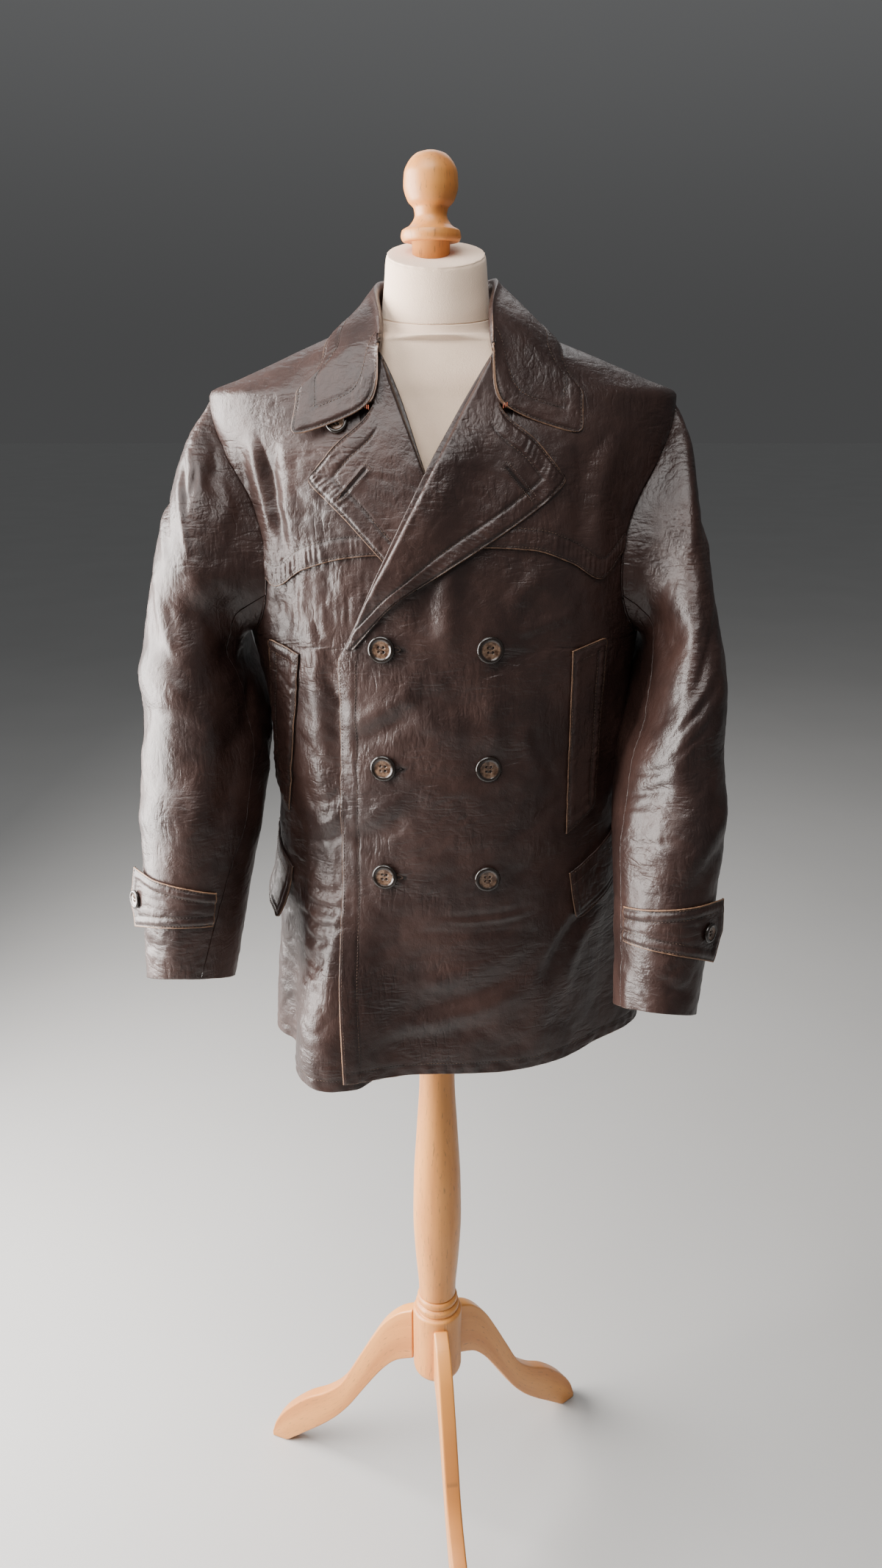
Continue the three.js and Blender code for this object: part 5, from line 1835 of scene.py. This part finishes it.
@dataclass
class Sleeve:
    """Two-piece sleeve from armhole to cuff, with a buttoned strap."""

    coat: Coat
    side: Side
    stations: Table
    seam_front: Table
    creases: Sequence[Crease]
    strap_mid: float
    strap_slant: float
    strap_half: tuple[float, float]
    strap_from: float
    strap_to: float
    strap_bend: float
    strap_button: float
    seam_behind: Table = ((0, 5, 9), (226, 230, 236))
    cuff_tilt: Table = ((0, 5, 9), (0, 0.08, 0.46))
    # Station, spread, height, angle and spread in angle of each large fold
    folds: Table = (
        (4.6, 0.35, 4, 60, 70),
        (5.5, 0.4, -4, 70, 70),
        (6.3, 0.4, 4, 100, 70),
        (2.6, 0.5, -4, 80, 50),
    )
    crumple_gain: float = 1.45
    strap_rows: Sizes = (2.4, 12.5)
    round_mm: float = 1.28
    down_mm: float = 70.0
    strap_point: float = 9.0
    step: float = 3.0

    def ring(self) -> tuple[Array, Array, Array]:
        """Edge of the armhole: angles round the sleeve, and its plain and creased points."""
        b, s = self.coat.body, self.side.value
        middle, half = (b.armpit_z + b.tip_z) / 2, (b.tip_z - b.armpit_z) / 2
        turn = np.linspace(0, 180, 121)
        z = middle + half * np.cos(np.radians(turn))
        phi = s * b.arm_angle(z, b.scoop_front)
        out = b.front_out(self.side, phi, z)
        behind = 180 - s * b.arm_angle(z, b.scoop_back)
        plain, creased = (
            np.concatenate([b.cell(phi, z, out, c)[0], b.cell(behind, z, 0, c)[0][::-1][1:]])
            for c in (False, True)
        )
        return np.concatenate([turn, 360 - turn[::-1][1:]]), plain, creased

    def station(self, s: Array) -> list[Array]:
        """Sizes of the sleeve's oval at a station."""
        places = np.arange(len(self.stations))
        return [along(places, column, s) for column in zip(*self.stations)]

    def oval(self, s: Array, psi: Array) -> Array:
        """Oval of the sleeve: psi 0 outside, 90 in front, 180 inside, 270 behind."""
        ox, oz, ix, iz, my, half = self.station(s)
        c, n = np.cos(np.radians(psi)), np.sin(np.radians(psi))
        bulge = np.zeros(np.broadcast(s, psi).shape)
        for at, spread, height, angle, wide in self.folds:
            bulge = bulge + height * bell((s - at) / spread) * bell(wrap(psi - angle) / wide)
        bulge = bulge * (s > 0.01)
        x = (ox + ix) / 2 + ((ox - ix) / 2 + bulge) * c
        z = (oz + iz) / 2 + (oz - iz) / 2 * c + along(*self.cuff_tilt, s) * half * n
        return np.stack([self.side.value * x, my - (half + bulge) * n, z], axis=-1)

    def drift(self, psi: Array, s: Array) -> Array:
        """Angle that a column has drifted to at a station, so that the seams wander."""
        f0, f1 = along(*self.seam_front, 0), along(*self.seam_front, s)
        b0, b1 = along(*self.seam_behind, 0), along(*self.seam_behind, s)
        before = psi * f1 / f0
        between = f1 + (psi - f0) * (b1 - f1) / (b0 - f0)
        after = b1 + (psi - b0) * (360 - b1) / (360 - b0)
        return np.where(psi <= f0, before, np.where(psi <= b0, between, after))

    def surface(self, psi: Array, s: Array) -> Array:
        """Points of the sleeve, eased from the armhole's edge to the ovals below."""
        turn = np.mod(psi, 360)
        angles, plain, creased = self.ring()
        start, edge = (read_points(turn, angles, ring) for ring in (plain, creased))
        keep = (clamp01(1 - s / 2.2) ** 2)[..., None]
        brief = (clamp01(1 - s / 0.3) ** 2)[..., None]
        shift = start - self.oval(np.zeros_like(turn), turn)
        p = self.oval(s, self.drift(turn, s)) + shift * keep + (edge - start) * brief
        p[..., 0] += self.side.value * 0.75 * (s < 1e-6)
        return p

    def placed_relief(self, psi: Array, s: Array) -> Array:
        """Height of the listed creases at angles and stations."""
        turn = np.mod(psi + 120, 360) - 120
        return total_relief(self.creases, turn * self.round_mm, s * self.down_mm)

    def relief(self, psi: Array, s: Array, points: Array) -> Array:
        """Creases of the sleeve: listed ones and crumples, calm at the armhole."""
        cap = bell((s - 0.55) / 0.4) * np.abs(np.cos(np.radians(psi / 2))) ** 2
        height = self.placed_relief(psi, s) + 0.35 * cap * FINE(points, (14, 14, 30))
        return (height + self.crumple_gain * crumple(points)) * smooth(s / 0.35)

    def build(self) -> None:
        """Upper and under sleeve, cuff strap and its button."""
        f0, b0 = self.seam_front[1][0], self.seam_behind[1][0]
        for word, first, last in (("upper", b0 - 360, f0), ("under", f0, b0)):
            width = (last - first) * self.round_mm
            u = first + lines(width, self.step) * (last - first)
            s = lines(640, self.step) * (len(self.stations) - 1)
            s, psi = np.meshgrid(s[::-1], u, indexing="ij")
            points = self.surface(psi, s)
            normals = grid_normals(points) * -self.side.value
            cloth = Cloth(f"coat_sleeve_{self.side.word}_{word}", points, normals)
            cloth.emboss(self.relief(psi, s, points))
            self.dress_seams(cloth)
            cloth.renew_normals()
            self.coat.finish(cloth, [self.side.front, "coat_back"])
        self.build_strap()

    @staticmethod
    def dress_seams(cloth: Cloth) -> None:
        """Puckers along the seams, a soft cuff edge and a small gap at the seams."""
        near, place = cloth.nearest([Edge.START, Edge.END])
        wave = np.sin(place / 2.1 + 2 * np.sin(place / 15))
        cloth.emboss(0.35 * wave * bell(near / 6) * smooth(near / 1.5))
        cloth.turn_edges([Edge.FOOT], 0.5)
        inward = 0.4 * bell(near / 1.2)
        direction = np.gradient(cloth.points, axis=1)
        sign = np.where(cloth.away(Edge.START) < cloth.away(Edge.END), 1.0, -1.0)
        cloth.points = cloth.points + unit(direction) * (inward * sign)[..., None]

    def on_sleeve(self, s: Array, psi: Array, out: Array) -> Pair:
        """Points and normals out from the sleeve at stations and drifted angles."""
        n = surface_normal(self.oval, s, psi, 0.03, 1) * -self.side.value
        p = self.oval(s, psi)
        lift = out + self.placed_relief(psi, s) + self.crumple_gain * crumple(p)
        return p + n * lift[..., None], n

    def strap_place(self, u: Array, v: Array) -> Pair:
        """Points and normals of the strap, which leaves the sleeve straight on from its bend."""
        turn = self.strap_to - self.strap_from
        half = self.strap_half[0] + (self.strap_half[1] - self.strap_half[0]) * u
        s = self.strap_mid + self.strap_slant * u + (v - 0.5) * 2 * half
        held = np.minimum(u, self.strap_bend)
        psi = self.strap_from + turn * held
        p, n = self.on_sleeve(s, psi, STEP + 0.5)
        reach = self.oval(s, psi + 1) - self.oval(s, psi - 1)
        return p + reach * (turn / 2 * (u - held))[..., None], n

    def build_strap(self) -> None:
        """Strap with a pointed free end, piped edges, stitch rows and a button."""
        v, u = np.meshgrid(lines(46, 1.6), lines(150, 1.8), indexing="ij")
        point = self.strap_point / abs(self.strap_from - self.strap_to)
        u = u * (1 - point * np.abs(2 * v - 1))
        cloth = Cloth(f"coat_cuff_strap_{self.side.word}", *self.strap_place(u, v))
        cloth.sew([Edge.FOOT, Edge.TOP, Edge.END], self.strap_rows, 0.45, 0.9)
        mid = np.abs(cloth.away(Edge.FOOT) - cloth.away(Edge.TOP)) / 2
        cloth.emboss(-0.5 * bell((mid - 5) / 1.2) * smooth((cloth.away(Edge.END) - 34) / 6))
        cloth.turn_edges(list(Edge), 0.95, 1.9)
        cloth.renew_normals()
        thread = self.coat.thread
        for distance in self.strap_rows:
            for edge in (Edge.FOOT, Edge.TOP):
                thread.run(*cloth.stitch_row(edge, distance, [Edge.END]))
        thread.run(*cloth.stitch_row(Edge.END, self.strap_rows[0], [Edge.FOOT, Edge.TOP]))
        self.coat.finish(cloth, [f"coat_sleeve_{self.side.word}_upper"])
        p, n = self.strap_place(np.array(self.strap_button), np.array(0.5))
        button = Button(f"cuff_button_{self.side.word}", p + 0.3 * n, n, 21.0, 3.6)
        button.build(self.coat.horn, thread)


# The dress form and its stand


def turned(name: str, rings: Array, material: Material, slot: str, node: str) -> Object:
    """Closed solid through rings of equal count, capped at both ends.

    Args:
        name: Name of the piece.
        rings: Rings of points, lowest first.
        material: Its finish.
        slot: Not used; handed on to dress.
        node: Solid that it stands for.

    Returns:
        The finished piece.
    """
    ends = [rings[0].mean(axis=0), rings[-1].mean(axis=0)]
    points = np.concatenate([rings.reshape(-1, 3), ends])
    obj = make_object(name, points, *turned_faces(*rings.shape[:2]))
    return dress(obj, material, slot, node)


def circles(profile: Table, count: int, steps: int, middle_x: float = 0.0) -> Array:
    """Rings of a turned profile, read smoothly between its points.

    Args:
        profile: Radius and height of each point, lowest first.
        count: Points in a ring.
        steps: Rings between two points of the profile.
        middle_x: X of the axis.

    Returns:
        Rings of points.
    """
    table = np.asarray(profile, float)
    places = np.arange(len(table))
    t = np.linspace(0, len(table) - 1, (len(table) - 1) * steps + 1)
    r, z = along(places, table[:, 0], t), along(places, table[:, 1], t)
    turn = full_turn(count)
    x = middle_x + r[:, None] * np.cos(turn)
    return np.stack([x, r[:, None] * np.sin(turn), np.broadcast_to(z[:, None], x.shape)], axis=-1)


@dataclass
class DressForm:
    """Limbless jersey-covered form with a tilted neck block and a turned finial."""

    body: CoatBody
    jersey: Material
    beech: Material
    seam_thread: Thread
    # How far the form is drawn in from the coat at heights
    drawn_z: Sizes = (860, 950, 1100, 1230, 1300, 1420, 1480, 1520, 1541, 1555, 1566, 1602)
    drawn_in: Sizes = (40, 34, 46, 38, 33, 24, 17, 11, 7.5, 4.2, 3, 3)
    columns: int = 144
    neck_radius: float = 56
    seam_z: float = 1617
    seam_tilt: float = 10
    cap_radius: float = 49
    cap_z: float = 1676
    cap_tilt: float = 20
    finial_x: float = -5
    finial: Table = (
        (19, 1686), (27, 1686), (30, 1691), (29, 1696), (21, 1701), (16, 1710), (17, 1716),
        (23, 1723), (27, 1736), (26.4, 1747), (22, 1757), (14, 1764.5), (6, 1767),
    )

    def neck_ring(self, radius: float, z: float, tilt: float) -> Array:
        """Round ring whose height leans back with the tilt."""
        turn = np.radians(np.arange(self.columns) / self.columns * 360 - 90)
        x, y = radius * np.cos(turn), radius * np.sin(turn)
        return np.stack([x, y, z + y * math.tan(math.radians(tilt))], axis=-1)

    def tilted_ring(self, radius: float, z: float, tilt: float) -> Array:
        """Flat circle turned back about X."""
        turn = full_turn(self.columns)
        x, y = radius * np.cos(turn), radius * np.sin(turn)
        a = math.radians(tilt)
        return np.stack([x, y * math.cos(a), z + y * math.sin(a)], axis=-1)

    def build(self) -> None:
        """Form, neck block and finial."""
        phi = np.arange(self.columns) / self.columns * 360
        torso, shoulders = np.linspace(876, 1540, 60), np.linspace(1545, 1594, 16)
        heights = np.concatenate([[862, 864, 868], torso, shoulders])
        rings = []
        for z in heights:
            rounded = 6 * (1 - smooth((z - 862) / 6))
            inward = -along(self.drawn_z, self.drawn_in, z) - rounded
            ring = self.body.draped(phi, np.full_like(phi, z), inward, False)
            if z < 870:
                ring[:, 2] = z
            rings.append(ring)
        necks = ((66, 1600.5, 2), (59, 1606, 6), (self.neck_radius, self.seam_z - SEAM, self.seam_tilt))
        keys = np.stack([*rings[-2:], *(self.neck_ring(*row) for row in necks)])
        neck = through(keys, np.linspace(0.25, 1, 25)[1:])
        rings = np.concatenate([np.stack(rings), neck])
        turned("dress_form_jersey", rings, self.jersey, "jersey", "dress_form")
        self.build_cap()
        spigot = self.neck_ring(19, self.cap_z + 0.4, self.cap_tilt)
        spigot = np.stack([np.roll(spigot, -self.columns // 4, axis=0)]) + (self.finial_x, 0, 0)
        body = circles(self.finial, self.columns, 6, self.finial_x)
        turned("finial_beech", np.concatenate([spigot, body]), self.beech, "beech", "finial")

    def build_cap(self) -> None:
        """Neck block: jersey pulled over a leaning drum, with a stitched seam below."""
        seam = self.neck_radius - 0.8
        rows = (
            (seam, self.seam_z, self.seam_tilt),
            (seam - 0.8, self.seam_z + 12, self.seam_tilt + 2),
            (self.cap_radius + 3.2, self.cap_z - 28, 16.5),
            (self.cap_radius + 1.6, self.cap_z - 8, self.cap_tilt),
            (self.cap_radius, self.cap_z - 2, self.cap_tilt),
            (self.cap_radius - 3.5, self.cap_z, self.cap_tilt),
            (20, self.cap_z, self.cap_tilt),
        )
        t = np.linspace(0, 1, 61)
        rings = through(np.stack([self.tilted_ring(*row) for row in rows]), t)
        turn = full_turn(self.columns)
        gather = 0.35 * np.sin(21 * turn + 2 * np.sin(3 * turn)) * bell((t[:, None] - 0.72) / 0.07)
        rings = rings * (1 + gather[..., None] * np.array([0.014, 0.014, 0.0]))
        turned("neck_cap_jersey", rings, self.jersey, "jersey", "neck_cap")
        path = self.tilted_ring(seam + 0.3, self.seam_z + 1.2, self.seam_tilt)
        path = np.concatenate([path, path[:1]])
        self.seam_thread.run(path, unit(path * (1, 1, 0)), 2.6, 2.2)


@dataclass
class Stand:
    """Turned post and hub on three sawn legs."""

    beech: Material
    sawn: Material
    columns: int = 96
    post: Table = (
        (20, 370.3), (24.5, 371), (25.5, 390), (30, 450), (32, 500), (31, 560), (26.5, 640),
        (22.5, 716), (22, 780), (22, 861.7),
    )
    hub: Table = (
        (22, 237), (29, 238.5), (32.5, 243), (33.5, 250), (33.5, 341), (31, 345), (28, 346.5), (29.7, 350.5),
        (29.7, 354), (27, 357.5), (25.6, 358.5), (27.5, 362), (27.5, 365), (25, 369), (20, 370),
    )
    leg_width: float = 20
    leg_angles: Sizes = (-68.7, 51.6, 171.6)
    leg_top: Table = (
        (34, 332), (57, 318), (81, 290), (104, 247), (125, 204), (150, 155), (178, 125), (208, 103),
        (232, 80), (252, 56), (266, 32), (272, 12),
    )
    leg_under: Table = (
        (34, 246), (60, 232), (80, 210), (99, 181), (118, 149), (140, 112), (164, 80), (190, 53),
        (214, 31), (236, 11), (250, 0), (272, 0),
    )
    arris: float = 3.0

    def build(self) -> None:
        """Post, hub and legs."""
        turned("post_beech", circles(self.post, self.columns, 8), self.beech, "beech", "post")
        turned("hub_beech", circles(self.hub, self.columns, 5), self.beech, "beech", "hub")
        for word, angle in zip(("left", "right", "front"), self.leg_angles):
            self.build_leg(word, angle)

    def build_leg(self, word: str, angle: float) -> None:
        """S-shaped leg: a rounded section carried between its upper and lower outlines."""
        out = np.array([math.sin(math.radians(angle)), math.cos(math.radians(angle)), 0.0])
        side = np.array([out[1], -out[0], 0.0])
        t = np.linspace(0, 1, 89)
        top, under = through(self.leg_top, t), through(self.leg_under, t)
        under[:, 1] = np.maximum(under[:, 1], 0)
        depth = np.linalg.norm(top - under, axis=1)
        r = np.minimum(self.arris, 0.3 * depth)
        turn = np.radians(np.linspace(0, 90, 5))
        share, wide = [], []
        half = self.leg_width / 2
        for start, high, sign in ((-90, False, 1), (0, True, 1), (90, True, -1), (180, False, -1)):
            a = turn + math.radians(start)
            middle = (depth - r if high else r)[:, None]
            share.append((middle + r[:, None] * np.sin(a)) / depth[:, None])
            wide.append(sign * (half - r[:, None]) + r[:, None] * np.cos(a))
        f, w = np.concatenate(share, axis=1), np.concatenate(wide, axis=1)
        flat = under[:, None] * (1 - f[..., None]) + top[:, None] * f[..., None]
        rings = flat[..., :1] * out + w[..., None] * side + flat[..., 1:] * np.array([0.0, 0.0, 1.0])
        obj = turned(f"leg_{word}_beech", rings, self.sawn, "beech", f"leg_{word}")
        self.map_grain(obj, rings)

    @staticmethod
    def map_grain(obj: Object, rings: Array) -> None:
        """Map with U along the leg and V round it, in metres."""
        middle = rings.mean(axis=1)
        u, v = lengths(middle), lengths(rings[40])
        both = np.broadcast_arrays(u[:, None], np.abs(v - v[-1] / 2)[None, :])
        grid = np.stack(both, axis=-1).reshape(-1, 2)
        per_point = np.concatenate([grid, [[0.0, 0.02], [u[-1], 0.02]]]) * MM
        corner = np.zeros(len(obj.data.loops), np.int32)
        obj.data.loops.foreach_get("vertex_index", corner)
        layer = obj.data.uv_layers.new(name="grain")
        layer.data.foreach_set("uv", per_point[corner].astype(np.float32).ravel())


# The scene round the part


@dataclass(frozen=True)
class SoftLight:
    """A rectangular light that faces the coat, placed in metres."""

    name: str
    place: tuple[float, float, float]
    size: tuple[float, float]
    power: float
    colour: tuple[float, float, float]
    target: tuple[float, float, float] = (0.0, 0.0, 1.2)

    def build(self) -> None:
        """Makes the light and turns it to its target."""
        data = bpy.data.lights.new(self.name, "AREA")
        data.shape = "RECTANGLE"
        data.size, data.size_y = self.size
        data.energy = self.power
        data.color = self.colour
        light = bpy.data.objects.new(self.name, data)
        light.location = self.place
        light.visible_camera = False
        way = unit(np.array(self.target) - np.array(self.place))
        yaw, pitch = math.atan2(way[0], way[1]), math.asin(way[2])
        light.rotation_euler = (math.pi / 2 + pitch, 0, -yaw)
        bpy.context.collection.objects.link(light)


@dataclass
class Studio:
    """Pale floor, grey sky, soft light from the viewer's left and the photograph's camera."""

    photo_size: tuple[int, int] = (1200, 2134)
    focal_pixels: float = 1550.0
    eye: tuple[float, float, float] = (5.0, -1250.0, 1556.0)
    look_down: float = 19.5
    sensor: float = 36.0
    sky_low: Colour = (0.26, 0.262, 0.265, 1)
    sky_high: Colour = (0.60, 0.61, 0.62, 1)
    sky_strength: float = 0.26
    floor_reach: float = 30000.0
    floor_dark: Colour = (0.40, 0.40, 0.395, 1)
    floor_light: Colour = (0.45, 0.45, 0.445, 1)
    lights: Sequence[SoftLight] = (
        SoftLight("window", (-1.5, 0.05, 1.4), (1.6, 1.9), 235, (1.0, 0.955, 0.92)),
        SoftLight("fill", (2.4, -2.2, 1.6), (2.0, 2.0), 2, (0.95, 0.97, 1.0)),
        SoftLight("above", (-0.6, -1.2, 3.3), (2.2, 1.6), 72, (1.0, 0.98, 0.96)),
        SoftLight("behind", (0.0, 1.9, 3.4), (2.2, 1.8), 30, (1.0, 1.0, 1.0)),
    )

    def build(self) -> None:
        """Makes the floor, the lights, the sky and the camera."""
        self.build_floor()
        for light in self.lights:
            light.build()
        self.build_sky()
        data = bpy.data.cameras.new("camera")
        data.sensor_width = self.sensor
        data.lens = self.sensor * self.focal_pixels / max(self.photo_size)
        data.clip_start = 0.01
        camera = bpy.data.objects.new("camera", data)
        camera.location = (np.array(self.eye) + AXIS) * MM
        camera.rotation_euler = (math.radians(90 - self.look_down), 0, 0)
        bpy.context.collection.objects.link(camera)
        bpy.context.scene.camera = camera

    def build_floor(self) -> None:
        """Wide plain floor at height 0."""
        corners = np.array([(-1, -1, 0), (1, -1, 0), (1, 1, 0), (-1, 1, 0)]) * self.floor_reach
        floor = make_object("floor", corners, np.array([[0, 1, 2, 3]]))
        t, shader, material = start_material("floor_pale")
        cloud = t.noise(t.place(), 1.7, 4.0, 0.5)
        t.put(shader.inputs["Base Color"], t.mix(cloud, self.floor_dark, self.floor_light))
        t.put(shader.inputs["Roughness"], 0.75)
        floor.data.materials.append(material)

    def build_sky(self) -> None:
        """Grey sky that pales with height."""
        world = bpy.data.worlds.new("soft_grey")
        world.use_nodes = True
        t = Tree(world.node_tree)
        way = t.node("ShaderNodeSeparateXYZ")
        t.put(way.inputs[0], t.place("Generated"))
        height = t.ramp(way.outputs["Z"], 0.0, 0.5)
        sky = world.node_tree.nodes["Background"]
        t.put(sky.inputs["Color"], t.mix(height, self.sky_low, self.sky_high))
        t.put(sky.inputs["Strength"], self.sky_strength)
        bpy.context.scene.world = world


def main() -> None:
    """Loads the frame, builds the coat, the form and the stand."""
    logging.basicConfig(level=logging.INFO, format="%(name)s: %(message)s")
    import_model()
    groups = {"hide": hide_group(), "wear": wear_group(), "fleck": fleck_group()}
    leather = LeatherFinish().make(groups)
    horn = HornFinish().make()
    brown = ThreadFinish("brown_thread", (0.10, 0.055, 0.035, 1), (0.022, 0.013, 0.010, 1)).make()
    rust = ThreadFinish("rust_thread", (0.38, 0.085, 0.03, 1), (0.24, 0.05, 0.02, 1)).make()
    cream = ThreadFinish("cream_thread", (0.70, 0.62, 0.50, 1), (0.60, 0.52, 0.40, 1)).make()
    beech = BeechFinish("beech_turned", Grain.UPRIGHT).make(groups)
    sawn = BeechFinish("beech_sawn", Grain.ALONG).make(groups)
    body = CoatBody()
    stitching, tacks = Thread("coat_stitching"), Thread("coat_notch_tacks", 0.5)
    seam = Thread("form_seam", 0.25)
    coat = Coat(body, leather, horn, stitching, tacks)
    coat.build()
    Sleeve(
        coat,
        Side.RIGHT,
        (
            (232, 1541, 207, 1299, 0, 80), (256, 1506, 212, 1288, -2, 88),
            (278, 1452, 212, 1268, -6, 90), (299, 1392, 204, 1240, -12, 89),
            (313, 1312, 198, 1205, -22, 86), (321, 1230, 196, 1160, -35, 82),
            (326, 1146, 199, 1105, -50, 77), (328, 1065, 208, 1043, -66, 70),
            (330, 985, 219, 976, -80, 62), (331, 911, 231, 911, -90, 55),
        ),
        ((0, 5, 7, 9), (128, 158, 138, 116)),
        SLEEVE_RIGHT_CREASES,
        strap_mid=7.72,
        strap_slant=0,
        strap_half=(0.29, 0.45),
        strap_from=124,
        strap_to=4,
        strap_bend=0.68,
        strap_button=0.86,
        folds=(*Sleeve.folds, (4.3, 1.4, 17, 222, 28)),
    ).build()
    Sleeve(
        coat,
        Side.LEFT,
        (
            (246, 1541, 222, 1299, 0, 80), (262, 1506, 225, 1288, -6, 88),
            (272, 1452, 221, 1268, -20, 90), (282, 1392, 218, 1240, -44, 89),
            (294, 1312, 212, 1205, -68, 86), (303, 1230, 199, 1160, -92, 82),
            (305, 1146, 193, 1110, -115, 77), (299, 1070, 191, 1048, -138, 70),
            (288, 990, 190, 988, -160, 62), (277, 917, 190, 927, -180, 55),
        ),
        ((0, 5, 7, 9), (128, 158, 160, 158)),
        SLEEVE_LEFT_CREASES,
        strap_mid=7.57,
        strap_slant=0.23,
        strap_half=(0.3, 0.44),
        strap_from=152,
        strap_to=12,
        strap_bend=0.73,
        strap_button=0.77,
        folds=(*Sleeve.folds, (4.3, 1.4, 13, 222, 28)),
    ).build()
    DressForm(body, jersey=JerseyFinish().make(), beech=beech, seam_thread=seam).build()
    Stand(beech, sawn).build()
    dress(stitching.build(), brown, "leather")
    dress(tacks.build(), rust, "leather")
    dress(seam.build(), cream, "jersey")
    Studio().build()


if __name__ == "__main__":
    main()
